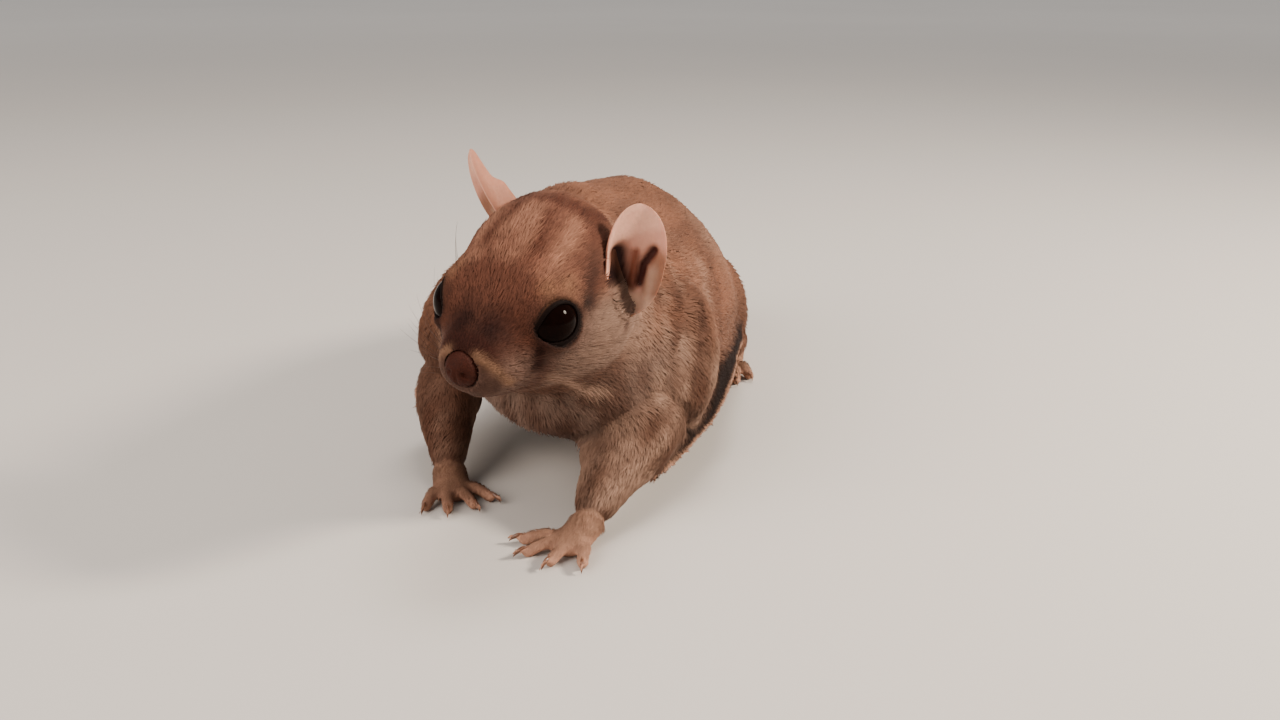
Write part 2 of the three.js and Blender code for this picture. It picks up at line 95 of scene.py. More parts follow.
ROOM_COLOUR = (0.78, 0.74, 0.7)
ROOM_LIGHT = 0.42
FILM = np.array((0.6, 0.49, 0.43))  # the paint that reads as white in this light


class Wire:
    """An output of a shader node that is taken from a number, or a number from it."""

    def __init__(self, shade, socket):
        self.shade = shade
        self.socket = socket

    def sum(self, operation, first, second):
        return self.shade.node("ShaderNodeMath", {"operation": operation}, {0: first, 1: second})

    def __sub__(self, other):
        return self.sum("SUBTRACT", self, other)

    def __rsub__(self, other):
        return self.sum("SUBTRACT", other, self)


class Shade:
    """A material while it is being put together."""

    def __init__(self, name):
        self.material = bpy.data.materials.new(name)
        self.material.use_nodes = True
        self.tree = self.material.node_tree
        self.tree.nodes.clear()

    def node(self, kind, settings=None, inputs=None, output=0):
        made = self.tree.nodes.new(kind)
        for key, value in (settings or {}).items():
            setattr(made, key, value)
        for key, value in (inputs or {}).items():
            if isinstance(value, Wire):
                self.tree.links.new(value.socket, made.inputs[key])
            else:
                made.inputs[key].default_value = value
        return Wire(self, made.outputs[output]) if made.outputs else None

    def places(self):
        return self.node("ShaderNodeTexCoord", output="Object")

    def marks(self):
        """The colours painted on the piece's own mesh."""
        return self.node("ShaderNodeAttribute", {"attribute_name": "coat"}, output="Color")

    def noise(self, scale, detail=3.0):
        """Fine mottling: scale is in waves a metre."""
        inputs = {"Vector": self.places(), "Scale": scale, "Detail": detail, "Roughness": 0.55}
        return self.node("ShaderNodeTexNoise", {}, inputs, "Fac")

    def mix(self, factor, first, second, blend="MIX"):
        """From the first colour to the second. Each is a wire, three numbers or one number for a grey."""
        settings = {"data_type": "RGBA", "blend_type": blend, "clamp_factor": True}
        first, second = (end if isinstance(end, Wire) else opaque(end) for end in (first, second))
        return self.node("ShaderNodeMix", settings, {0: factor, 6: first, 7: second}, 2)

    def mottled(self, paint, pattern, low, high):
        """The paint, as bright as low where the pattern is 0 and as high where it is 1."""
        return self.mix(1.0, paint, self.mix(pattern, low, high), "MULTIPLY")

    def surface(self, paint, roughness, height=None, depth=0.0, **constants):
        """The finish itself. A height in 0 to 1 becomes relief of that depth, in metres."""
        inputs = {"Base Color": paint, "Roughness": roughness}
        inputs.update({key.replace("_", " "): value for key, value in constants.items()})
        if height is not None:
            bump = {"Height": height, "Distance": depth, "Strength": 1.0}
            inputs["Normal"] = self.node("ShaderNodeBump", {}, bump)
        shader = self.node("ShaderNodeBsdfPrincipled", {}, inputs)
        self.node("ShaderNodeOutputMaterial", {}, {"Surface": shader})
        return self.material


def colour(red, green, blue):
    """The paint, in linear light, for a colour as the eye reads it, 0 to 255."""
    share = np.array((red, green, blue)) / 255
    return FILM * np.where(share < 0.04045, share / 12.92, ((share + 0.055) / 1.055) ** 2.4)


def opaque(linear):
    return (*np.broadcast_to(linear, 3), 1.0)


def finished(bm, name, finish=None):
    """Turns a bmesh in place into an object at the origin."""
    mesh = bpy.data.meshes.new(name)
    bm.to_mesh(mesh)
    bm.free()
    mesh.shade_smooth()
    if finish:
        mesh.materials.append(finish)
    return in_scene(bpy.data.objects.new(name, mesh))


paper = Shade("studio_floor")
# The floor's paint turns paler away from the animal, as painted light in place of the lamps' light.
floor_off = paper.node("ShaderNodeVectorMath", {"operation": "LENGTH"}, {0: paper.places()}, "Value")
floor_painted_light = paper.node(
    "ShaderNodeMapRange", {"interpolation_type": "SMOOTHSTEP"},
    {"Value": floor_off, "From Min": FLOOR_FADE[0], "From Max": FLOOR_FADE[1]})
floor_paint = paper.mix(floor_painted_light, FLOOR_COLOUR, FLOOR_FAR_PAINTED_LIGHT)
floor_paint = paper.mottled(floor_paint, paper.noise(scale=3.0, detail=2.0), low=0.96, high=1.04)
floor_bm = bmesh.new()
bmesh.ops.create_grid(floor_bm, x_segments=4, y_segments=4, size=FLOOR_ACROSS / 2)
floor = finished(floor_bm, "floor", paper.surface(floor_paint, roughness=0.85))

for lamp, say in LIGHTS.items():
    data = bpy.data.lights.new(lamp, "AREA")
    data.shape = "DISK"
    data.size = say["across"]
    data.energy = say["watts"]
    data.color = say["colour"]
    light = in_scene(bpy.data.objects.new(lamp, data))
    light.location = left_eye * (1, 1, 0) + say["place"]
    aim = Vector(left_eye) - light.location
    light.rotation_euler = aim.to_track_quat("-Z", "Y").to_euler()

even = in_scene(bpy.data.objects.new("even", bpy.data.lights.new("even", "SUN")))
even.data.energy = EVEN_LIGHT
even.data.angle = math.radians(EVEN_SPREAD)

room = bpy.data.worlds.new("room")
room.use_nodes = True
room.node_tree.nodes["Background"].inputs["Color"].default_value = opaque(ROOM_COLOUR)
room.node_tree.nodes["Background"].inputs["Strength"].default_value = ROOM_LIGHT
bpy.context.scene.world = room


# Skin. One closed hide over head, neck, trunk, limbs, paws and membranes. It is the solids' own
# surface melted into one, smoothed, and drawn in by the depth of the coat that covers it.
FLESH = ["head", "neck", "torso"] + [
    f"{limb}_{side}"
    for limb in ("foreleg", "hand", "hindleg", "foot", "patagium")
    for side in ("left", "right")
]
REGION_OF = [name.split("_")[0] for name in FLESH]
HIDES = {  # mm that the hide is drawn in, rounds of smoothing, and how far the creases fill up
    "head": {"depth": 0.8, "rounds": 22, "filling": 0.25},
    "neck": {"depth": 1.2, "rounds": 60, "filling": 1},
    "torso": {"depth": 1.2, "rounds": 60, "filling": 1},
    "foreleg": {"depth": 0.7, "rounds": 24, "filling": 1},
    "hand": {"depth": 0.12, "rounds": 4, "filling": 0},
    "hindleg": {"depth": 0.9, "rounds": 24, "filling": 1},
    "foot": {"depth": 0.12, "rounds": 4, "filling": 0},
    "patagium": {"depth": 0.3, "rounds": 6, "filling": 0.4},
}
SEAM_FILL = 0.2 * MM  # how far each solid swells, to close the gaps between them
FINE = 0.42 * MM  # size of the hide's facets while it is melted
SKIN_TRIANGLES = 150_000
FILL_FACETS = 1.4 * MM  # size of the facets on which the creases are filled
FILL_ROUNDS = 400
FILL_STEP = 0.9  # share of the way to its neighbours' middle that a hollow rises in a round
SHARP_ROUNDS = 3  # rounds of smoothing at the eyes, the nose and the ears' hollows
EYE_RADIUS = 4.3 * MM
EYE_APART = 15.0  # mm between the middles of the eyes
EYE_BACK = 12.2  # mm from the nose pad's middle back to the eyes
EYE_RISE = 3.8  # mm from the nose pad's middle up to the eyes
NOSE_BACK = 1.6  # mm from the nose tip back to the middle of the pad
NOSE_RISE = 0.2


def unit(vectors):
    """One vector, or each row of many, brought to a length of one."""
    vectors = np.asarray(vectors, float)
    return vectors / np.maximum(np.linalg.norm(vectors, axis=-1, keepdims=True), 1e-12)


# The head's own frame, found from the eyes and the nose pad: X to the left, Y to the nape, Z up, in
# millimetres from the tip of the nose.
across = unit(left_eye - right_eye)
slope = (left_eye + right_eye) / 2 - middle("nose")
slope = unit(slope - across * (slope @ across))
rise = np.cross(across, slope)
reach = math.hypot(EYE_BACK, EYE_RISE)
napeward = (EYE_BACK * slope - EYE_RISE * rise) / reach
crownward = (EYE_RISE * slope + EYE_BACK * rise) / reach
head_axes = np.stack((across, napeward, crownward))
nose_tip = middle("nose") - (NOSE_BACK * napeward + NOSE_RISE * crownward) * MM
EYE_LOCAL = np.array((EYE_APART / 2, NOSE_BACK + EYE_BACK, NOSE_RISE + EYE_RISE))


def in_head(points):
    """Places in the head's frame, in millimetres."""
    return (points - nose_tip) @ head_axes.T / MM


def from_head(points):
    return np.asarray(points) @ head_axes * MM + nose_tip


def turned_from_head(directions):
    return np.asarray(directions) @ head_axes


# Where the ears stand in the head's frame, as on the left side: the root, the way it points and the
# way it opens. Each opens out of a hollow in the side of the head.
EARS = {
    "left": {"hand": 1, "root": (12.4, 28.9, -2.2), "axis": (0.09, 0.16, 0.98), "opening": (0.54, -0.84, 0)},
    "right": {"hand": -1, "root": (3.1, 31.2, 6.8), "axis": (0.7, 0, 0.72), "opening": (0.8, -0.6, 0)},
}
EAR_HOLLOW_AT = (-0.4, 10.6, 3.1)  # mm across, along and before the ear's root
EAR_HOLLOW = (4.8, 8.4, 4.2)  # mm, half widths


def ear_axes(say):
    """The ways across an ear, along it and out of its cup."""
    axis = unit(say["axis"])
    opening = np.array(say["opening"])
    forward = unit(opening - axis * (opening @ axis))
    return np.stack((np.cross(axis, forward), axis, forward))


def hollow_share(local):
    """How near each place is to the middle of an ear's hollow, as a share of the way to its rim, and
    how far along its ear the place is, in millimetres."""
    best = np.full(len(local), 1e9)
    along = np.zeros(len(local))
    for say in EARS.values():
        own = (local * (say["hand"], 1, 1) - say["root"]) @ ear_axes(say).T
        share = np.linalg.norm((own - EAR_HOLLOW_AT) / EAR_HOLLOW, axis=1)
        along = np.where(share < best, own[:, 1], along)
        best = np.minimum(best, share)
    return best, along


# The solids were drawn with the shoulders over the origin. A drawn place goes to the model's frame
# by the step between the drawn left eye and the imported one.
DRAWN_EYE = np.array((6.38, -36.96, 38.45))


def drawn(points):
    return (np.asarray(points, float) - DRAWN_EYE) * MM + left_eye


def in_drawn(points):
    return (points - left_eye) / MM + DRAWN_EYE


def numbers(collection, field, width, kind=np.float32):
    """A field of all the things in one of Blender's collections, a row for each."""
    values = np.empty(len(collection) * width, kind)
    collection.foreach_get(field, values)
    return values.reshape(-1, width)


def areas_of(corners):
    """The areas of triangles."""
    doubles = np.cross(corners[:, 1] - corners[:, 0], corners[:, 2] - corners[:, 0])
    return np.linalg.norm(doubles, axis=1) / 2


def tree_of(places):
    tree = kdtree.KDTree(len(places))
    for i, place in enumerate(places):
        tree.insert(place, i)
    tree.balance()
    return tree


def owner_finder(nodes, apart):
    """Strews points over the solids of some nodes, and tells from them whose place a place is."""
    strewn = np.random.default_rng(11)
    places, owners = [], []
    for number, name in enumerate(nodes):
        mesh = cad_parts[name].data
        mesh.calc_loop_triangles()
        corners = numbers(mesh.vertices, "co", 3)[numbers(mesh.loop_triangles, "vertices", 3, np.int32)]
        areas = areas_of(corners)
        count = max(int(areas.sum() / apart ** 2), 20)
        three = corners[strewn.choice(len(areas), count, p=areas / areas.sum())]
        share = np.sqrt(strewn.random((count, 2)))[:, :1]
        first = 1 - share
        second = share * (1 - strewn.random((count, 1)))
        third = 1 - first - second
        places.append(first * three[:, 0] + second * three[:, 1] + third * three[:, 2])
        owners.append(np.full(count, number))
    tree = tree_of(np.concatenate(places))
    owners = np.concatenate(owners)
    return lambda points: owners[[tree.find(p)[1] for p in points]]


class Links:
    """The edges of a mesh, to blend values between neighbours."""

    def __init__(self, mesh):
        edges = numbers(mesh.edges, "vertices", 2, np.int32)
        self.starts = np.concatenate((edges[:, 0], edges[:, 1]))
        self.ends = np.concatenate((edges[:, 1], edges[:, 0]))
        self.count = len(mesh.vertices)
        self.degree = np.maximum(np.bincount(self.ends, minlength=self.count), 1)

    def mean(self, values):
        columns = [
            np.bincount(self.ends, weights=values[self.starts, c], minlength=self.count)
            for c in range(values.shape[1])
        ]
        return np.stack(columns, axis=1) / self.degree[:, None]

    def blended(self, values, rounds):
        """Each value moves half way to its neighbours' mean, in as many rounds as its place has."""
        values = np.array(values, float)
        rounds = np.broadcast_to(rounds, self.count)
        for done in range(int(rounds.max())):
            active = (rounds > done)[:, None]
            values += np.where(active, 0.5 * (self.mean(values) - values), 0)
        return values


def applied(piece, kind, **settings):
    """Gives the piece the mesh that a modifier makes of it."""
    modifier = piece.modifiers.new(kind.lower(), kind)
    for key, value in settings.items():
        setattr(modifier, key, value)
    evaluated = piece.evaluated_get(bpy.context.evaluated_depsgraph_get())
    mesh = bpy.data.meshes.new_from_object(evaluated)
    piece.modifiers.clear()
    old, piece.data = piece.data, mesh
    bpy.data.meshes.remove(old)
    mesh.name = piece.name


def by_region(key, owners):
    return np.array([HIDES[region][key] for region in REGION_OF], float)[owners]


def left_sided(points):
    """Places on the right side go to their mirror places on the left."""
    return np.column_stack((np.abs(points[:, 0]), points[:, 1:]))


def eye_gap(local):
    """Millimetres from each place in the head's frame to the nearer eyeball."""
    return np.linalg.norm(left_sided(local) - EYE_LOCAL, axis=1) - EYE_RADIUS / MM


def path_gap(points, path):
    """How far each place is from a line through the points of the path."""
    gaps = np.full(len(points), 1e9)
    for start, end in zip(path[:-1], path[1:]):
        start, end = np.array(start), np.array(end)
        step = end - start
        share = np.clip((points - start) @ step / (step @ step), 0, 1)
        gaps = np.minimum(gaps, np.linalg.norm(points - start - share[:, None] * step, axis=1))
    return gaps


def line_gap(points, line):
    """Millimetres from each place to a line on the animal's left or to its mirror."""
    return path_gap(left_sided(points), line)


def ramp(values, start, end):
    """Goes smoothly from 0 at start to 1 at end, whichever of the two is the greater."""
    share = np.clip((values - start) / (end - start), 0, 1)
    return share * share * (3 - 2 * share)


def bell(gap, wide):
    """1 where the gap is 0, a third where it is as wide as said, and soon nothing."""
    return np.exp(-(gap / wide) ** 2)


def settle(mesh, places):
    mesh.vertices.foreach_set("co", np.asarray(places, np.float32).ravel())
    mesh.update()


def places_of(mesh):
    return numbers(mesh.vertices, "co", 3).astype(float)


def normals_of(mesh):
    return numbers(mesh.vertex_normals, "vector", 3).astype(float)


def creases_filled():
    """The corners of a coarse copy of the hide, and the step outwards of each that fills the creases.
    The limbs stay as they are next to the paws."""
    coarse = in_scene(skin.copy())
    coarse.data = skin.data.copy()
    applied(coarse, "REMESH", mode="VOXEL", voxel_size=FILL_FACETS)
    mesh = coarse.data
    before = places_of(mesh)
    owners = find_owner(before)
    limb = np.isin(np.array(REGION_OF)[owners], ("foreleg", "hindleg"))
    free = by_region("filling", owners) * np.where(limb, ramp(in_drawn(before)[:, 2], 7, 13), 1)
    links = Links(mesh)
    free = links.blended(free[:, None], rounds=5)
    places = before.copy()
    for done in range(FILL_ROUNDS):
        if done % 10 == 0:
            settle(mesh, places)
            normals = normals_of(mesh)
        step = links.mean(places) - places
        hollow = (step * normals).sum(1, keepdims=True) > 0
        places += np.where(hollow, FILL_STEP * step * free, 0)
    bpy.data.objects.remove(coarse)
    return before, places - before


hide_bm = bmesh.new()
for name in FLESH:
    node_bm = bmesh.new()
    node_bm.from_mesh(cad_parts[name].data)
    bmesh.ops.remove_doubles(node_bm, verts=node_bm.verts, dist=1e-6)
    node_bm.normal_update()
    for v in node_bm.verts:
        v.co += v.normal * SEAM_FILL
    node_mesh = bpy.data.meshes.new("swollen")
    node_bm.to_mesh(node_mesh)
    node_bm.free()
    hide_bm.from_mesh(node_mesh)
    bpy.data.meshes.remove(node_mesh)
skin = finished(hide_bm, "skin")
applied(skin, "REMESH", mode="VOXEL", voxel_size=FINE)

find_owner = owner_finder(FLESH, apart=1.0 * MM)
hide = skin.data
links = Links(hide)
places = places_of(hide)
owners = find_owner(places)
coarse_places, coarse_steps = creases_filled()
tree = tree_of(coarse_places)
nearest = np.array([[found[1] for found in tree.find_n(p, 3)] for p in places])
places += links.blended(coarse_steps[nearest].mean(1), rounds=24)
local = in_head(places)
is_head = owners == FLESH.index("head")
plain = ramp(eye_gap(local), 0.8, 4.0) * ramp(local[:, 1], 1.5, 7.0) * ramp(hollow_share(local)[0], 1.0, 1.5)
rounds = by_region("rounds", owners)
rounds = np.where(is_head, SHARP_ROUNDS + (rounds - SHARP_ROUNDS) * plain, rounds)
rounds = links.blended(rounds[:, None], rounds=6)[:, 0].astype(int)
places = links.blended(places, rounds)
settle(hide, places)

# The mouth is pressed in as a fine crease that runs back from under the nose. The hide lies less deep
# at the muzzle, and comes up to the lids round the eyes.
MOUTH = [(0.0, 3.4, -4.9), (1.6, 4.2, -5.2), (3.6, 6.6, -5.6), (5.6, 9.6, -5.7), (7.2, 12.8, -5.4)]
MOUTH_DEEP = 0.35  # mm
MOUTH_WIDE = 0.5
depth = by_region("depth", owners)
at_muzzle = 1 - 0.6 * ramp(local[:, 1], 11, 4)
at_lids = ramp(eye_gap(local), 1.0, 4.0)
depth = np.where(is_head, depth * at_muzzle * at_lids, depth)
depth = links.blended(depth[:, None], rounds=12)[:, 0]
depth += np.where(is_head, MOUTH_DEEP * bell(line_gap(local, MOUTH), MOUTH_WIDE), 0)
settle(hide, places - normals_of(hide) * depth[:, None] * MM)
applied(skin, "DECIMATE", ratio=min(1.0, SKIN_TRIANGLES / (2 * len(hide.polygons))))
hide = skin.data
hide.shade_smooth()


# Markings. Grey-brown fur with cinnamon and pale blotches above, a dark muzzle and a dark ring round
# the eye, pale cheeks, throat and belly, dark membranes with a pale edge, and light-furred arms. Some
# of the colour is painted light and shade: painted shade on the chin, in the hollows at the ears' roots,
# on the right arm and paw and over the membranes, and a painted highlight and shade along the jaw fold.
# The chin's colour and the concha's are painted shade. The membrane's colour is partly painted shade and
# partly the membranes' own dark fur.
PALETTE = {
    "back": colour(130, 96, 78), "back_warm": colour(150, 111, 91), "back_grey": colour(104, 78, 66),
    "crown": colour(124, 88, 74), "crown_dark": colour(86, 52, 40), "forehead": colour(168, 130, 111),
    "muzzle": colour(106, 71, 58), "muzzle_deep": colour(48, 22, 14), "muzzle_side": colour(122, 103, 96),
    "eye_ring": colour(16, 6, 4), "brow": colour(134, 102, 82), "temple": colour(62, 38, 30),
    "cheek": colour(148, 130, 120), "under_eye": colour(90, 72, 68), "nose_fur": colour(56, 25, 16),
    "nose_spot": colour(148, 122, 102), "chin": colour(105, 80, 68), "concha": colour(36, 8, 6),
    "throat": colour(138, 123, 116), "belly": colour(205, 182, 158), "flank": colour(116, 92, 80),
    "streak": colour(84, 60, 49), "streak_pale": colour(184, 162, 148), "stripe": colour(58, 34, 25),
    "membrane": colour(26, 10, 7), "membrane_edge": colour(200, 168, 150), "arm": colour(117, 97, 86),
    "arm_pale": colour(182, 160, 146), "arm_dark": colour(88, 60, 47), "thigh": colour(124, 93, 77),
    "paw": colour(177, 148, 130), "toe": colour(206, 170, 151), "tail_top": colour(120, 91, 75),
    "tail_edge": colour(84, 60, 47), "tail_under": colour(176, 142, 114), "mouth": colour(40, 18, 13),
}
BLOTCH_WAVES = 18
BLOTCH_FINENESS = (0.45, 1.9)  # least and most waves in the size of a blotch
BLOTCH_CONTRAST = 0.8
UNDERCOAT = 0.8  # how bright the skin and underfur are beside the tips of the hairs


def layered(count, ground, washes, paints=PALETTE):
    """Colours for so many places: a ground, and washes over it, each a tint and its strength there."""
    paint = np.tile(paints[ground], (count, 1))
    for tint, strength in washes:
        strength = np.clip(strength, 0, 1)[:, None]
        paint = paint * (1 - strength) + paints[tint] * strength
    return paint


def spot(points, centre, wide):
    """A soft round spot on the animal's left, and its mirror."""
    return bell(np.linalg.norm(left_sided(points) - centre, axis=1), wide)


def stroke(points, line, wide):
    return bell(line_gap(points, line), wide)


def blotches(points, size, seed):
    """Soft random patches of about the size given, in millimetres, from 0 to 1."""
    strewn = np.random.default_rng(seed)
    total = np.zeros(len(points))
    for _ in range(BLOTCH_WAVES):
        wave = strewn.normal(size=3)
        finer = strewn.uniform(*BLOTCH_FINENESS)
        wave *= 2 * math.pi / size * finer / np.linalg.norm(wave)
        total += np.sin(points @ wave + strewn.uniform(0, 2 * math.pi)) / math.sqrt(finer)
    return 1 / (1 + np.exp(-BLOTCH_CONTRAST * total))


# Lines on the head, in its own frame, as on the left: streaks over the brow and the crown with a tint,
# how strong and how wide in mm each is, and the lines at the temple, the eye, the nose and the jaw.
CROWN_STREAKS = [
    ("forehead", 0.9, 1.5, [(6.1, 24.2, 15.5), (7.3, 20.0, 13.6), (6.9, 16.4, 12.3)]),
    ("forehead", 0.8, 1.5, [(0.6, 23.0, 16.8), (1.2, 17.1, 15.0), (1.3, 14.6, 12.8)]),
    ("crown_dark", 0.75, 1.1, [(2.9, 22.2, 16.4), (4.2, 16.2, 13.5)]),
    ("crown_dark", 0.6, 1.0, [(8.9, 24.5, 13.8), (9.0, 19.5, 12.2)]),
    ("crown_dark", 1.2, 2.4, [(2.4, 26.6, 17.2), (5.5, 27.4, 16.1), (8.0, 30.6, 14.2)]),
    ("crown_dark", 0.95, 1.4, [(10.6, 28.5, 12.2), (9.9, 26.1, 12.7), (9.9, 22.1, 11.8)]),
]
TEMPLE = [(11.9, 18.6, 6.0), (11.1, 19.6, 8.2), (10.6, 21.9, 10.2)]
TEAR_STREAK = [(8.8, 10.2, 3.0), (8.0, 9.1, 1.0), (7.6, 8.6, -1.2)]
NOSE_STREAK = [(2.3, 1.6, 2.6), (4.4, 2.6, 0.6), (5.6, 5.3, -3.0)]
JAW_FOLD = [(8.3, 11.5, -4.3), (8.5, 13.9, -6.0), (7.7, 18.2, -8.7), (7.7, 22.5, -11.2), (11.1, 24.6, -12.0)]
FOLD_SHADE = (0, 0.5, 1.7)  # mm from the fold's shade to the fold


def fold_marks(p):
    """A painted highlight along the fold of skin back from under the eye, and a painted shade beneath it."""
    return [
        ("streak", 0.95 * stroke(p + FOLD_SHADE, JAW_FOLD, 0.95)),
        ("streak_pale", 1.1 * stroke(p, JAW_FOLD, 0.9)),
        ("temple", 1.1 * spot(p, (14.3, 25.9, -1.2), 1.3)),
    ]


def head_marks(points):
    p = in_head(points)
    x, y, z = p.T
    gap = eye_gap(p)
    bridge = ramp(y, 13.6, 12.0)
    crown = 1 - bridge
    low = ramp(1.2 + 4.6 * ramp(y, 13.5, 18) - z - 0.1 * (np.abs(x) - 8), -1.8, 1.8)
    ragged = 0.5 + 0.6 * blotches(p * (1, 0.4, 0.6), 1.8, 34)
    share, along = hollow_share(p)
    return layered(len(p), "crown", [
        ("back", 0.8 * ramp(y, 25, 32)),
        ("crown_dark", 0.55 * blotches(p * (1, 0.35, 0.6), 5.0, 33) * crown),
        ("forehead", 0.6 * blotches(p * (1, 0.3, 0.6), 3.4, 3) ** 1.5 * crown * ramp(y, 26, 18)),
        *((tint, amount * ragged * stroke(p, line, wide)) for tint, amount, wide, line in CROWN_STREAKS),
        ("muzzle", bridge),
        ("muzzle_deep", 0.3 * bridge * ramp(z, 8.5, 4.0)),
        ("muzzle_deep", 1.05 * spot(p, (2.5, 5.2, 5.2), 3.4)),
        ("muzzle_side", low * ramp(y, 11, 8)),
        ("cheek", low * ramp(y, 9, 13)),
        # The underside of the head is painted brown, as painted shade under the head.
        ("chin", ramp(z, -5.5, -8.5)),
        ("under_eye", 0.7 * low * bell(np.maximum(gap, 0), 2.4)),
        ("temple", stroke(p, TEMPLE, 1.8)),
        ("eye_ring", 1.2 * bell(np.maximum(gap - 0.2, 0), 0.5)),
        ("brow", 1.0 * spot(p, (7.9, 12.9, 9.4), 1.7)),
        ("brow", 1.1 * spot(p, (9.7, 15.9, 9.2), 1.9)),
        ("muzzle_deep", 1.1 * stroke(p, TEAR_STREAK, 1.2)),
        ("eye_ring", 0.8 * spot(p, (11.6, 17.8, 6.0), 1.2)),
        *fold_marks(p),
        ("nose_fur", ramp(y, 4.4, 3.2) * (1 - 0.6 * low)),
        ("nose_spot", 0.9 * stroke(p, NOSE_STREAK, 0.75)),
        ("mouth", 0.9 * stroke(p, MOUTH, 0.35)),
        # Painted shade in the hollow of the head at each ear's root.
        ("concha", ramp(share, 1.02, 0.8) * ramp(along, 6.0, 8.0)),
    ])


# Streaks down the shoulder, the throat and the arm: a tint, how strong and how wide in mm it is, and
# the line that it follows on the animal's left.
STREAKS = [
    ("streak", 1.1, 2.0, [(20.3, 6, 36), (22.2, -0.2, 31.5), (23, -4.9, 26.4), (22.3, -8.5, 21.5)]),
    ("streak_pale", 0.8, 1.6, [(20.3, -6.5, 27.5), (21, -9.6, 21), (20, -12.5, 17)]),
    ("streak", 0.75, 1.8, [(17.9, -3, 35), (18.3, -9, 28), (17.3, -12, 23)]),
    ("streak_pale", 0.85, 2.4, [(20.5, 18, 35.6), (24, 9, 29), (26.1, 0, 20.7)]),
    ("streak", 0.8, 2.0, [(22.2, 24, 31), (23.4, 19, 26.7), (26, 12, 18)]),
    ("streak_pale", 0.4, 7.0, [(17.5, 39, 36), (21, 44, 31)]),
    ("streak_pale", 0.95, 2.1, [(16.9, -13.3, 23.8), (15.3, -13.8, 18.5), (12.5, -20.6, 15.5)]),
    ("streak", 0.6, 1.4, [(14.5, -17, 22), (14, -17.5, 17.5), (10.9, -24.8, 11.7)]),
    ("arm_dark", 0.7, 1.8, [(19.5, -12, 18), (18.1, -19.4, 13.7), (13, -26, 9)]),
    ("arm_pale", 0.9, 1.5, [(20, -16.3, 14.4), (15.9, -24.4, 10.2), (12.2, -30.2, 7.1)]),
]


def streaks(p):
    wavering = 0.6 + 0.4 * blotches(p, 4.0, 21)
    return [(tint, amount * wavering * stroke(p, line, wide)) for tint, amount, wide, line in STREAKS]


def trunk_marks(points):
    p = in_drawn(points)
    x, y, z = p.T
    side = np.abs(x)
    height = z - (14 + 6 * ramp(y, 10, -10))
    fore_side = ramp(side, 8, 15) * ramp(y, 22, -2)
    throat = ramp(y, -2, -16) * ramp(z, 34, 24)
    return layered(len(p), "back", [
        ("back_warm", 0.8 * blotches(p * (1, 0.4, 1), 15.0, 5)),
        ("back_grey", 0.6 * blotches(p * (1, 0.3, 1), 9.0, 6) ** 1.6),
        ("flank", 0.8 * ramp(height, 12, 3) * ramp(side, 10, 18)),
        ("streak", 0.6 * blotches(p * (0.5, 1, 0.3), 6.0, 12) ** 1.5 * fore_side),
        ("streak_pale", 0.6 * blotches(p * (0.5, 1, 0.3), 7.0, 14) ** 2 * fore_side),
        ("stripe", 0.8 * bell(height + 1.0, 3.4) * ramp(y, 8, 20)),
        ("belly", ramp(height, -2.5, -6)),
        ("throat", throat),
        ("streak", 0.8 * throat * blotches(p * (1, 0.4, 0.4), 4.5, 15)),
        *streaks(p),
        *fold_marks(in_head(points)),
    ])


def arm_marks(points):
    p = in_drawn(points)
    return layered(len(p), "arm", [
        ("arm_pale", 0.7 * blotches(p * (1, 0.6, 0.4), 7.0, 8) ** 1.5),
        ("arm_dark", 0.8 * blotches(p * (1, 0.6, 0.4), 6.0, 18) ** 2),
        # Painted shade: the right arm, away from the key lamp, is darkened.
        ("arm_dark", 0.4 * ramp(p[:, 0], -8, -14)),
        ("back", 0.8 * ramp(p[:, 2], 20, 30)),
        *streaks(p),
    ])


def leg_marks(points):
    p = in_drawn(points)
    grey = 0.7 * blotches(p, 8.0, 9)
    return layered(len(p), "thigh", [("back_grey", grey), ("paw", ramp(p[:, 2], 8, 4))])


def paw_marks(points):
    x, y, z = in_drawn(points).T
    # Painted shade: the right paw is darkened, like the right arm.
    shaded = 0.45 * ramp(x, -8, -14) * ramp(y, 0, -5)
    return layered(len(x), "paw", [("toe", ramp(z, 3.2, 1.2)), ("arm_dark", shaded)])


# The free edges of the membranes, as on the left side. They differ only in front, as the arms do.
REAR_EDGE = [(27, 15, 12.5), (26, 28, 12.5), (25, 42, 11), (24.2, 54, 8.5), (22.8, 64, 5.5)]
LEFT_EDGE = [(15.5, -22, 4.5), (20.5, -10, 5.5), (25.5, 3, 8.5)] + REAR_EDGE
RIGHT_EDGE = [(22, -9.5, 5), (31.5, 0.5, 12), (29, 8, 12)] + REAR_EDGE


def edge_gap(p):
    """Millimetres to the free edge of the membrane on the same side."""
    return np.where(p[:, 0] > 0, line_gap(p, LEFT_EDGE), line_gap(p, RIGHT_EDGE))


def membrane_marks(points):
    p = in_drawn(points)
    rim = bell(np.maximum(edge_gap(p) - 1.0, 0), 0.5)
    # The near-black ground is partly the membranes' own dark fur and partly painted shade.
    return layered(len(p), "membrane", [("thigh", 0.85 * ramp(p[:, 1], 44, 60)), ("membrane_edge", rim)])


def painted(mesh, colours):
    attribute = mesh.color_attributes.new("coat", "FLOAT_COLOR", "POINT")
    four = np.ones((len(colours), 4), np.float32)
    four[:, :3] = colours
    attribute.data.foreach_set("color", four.ravel())


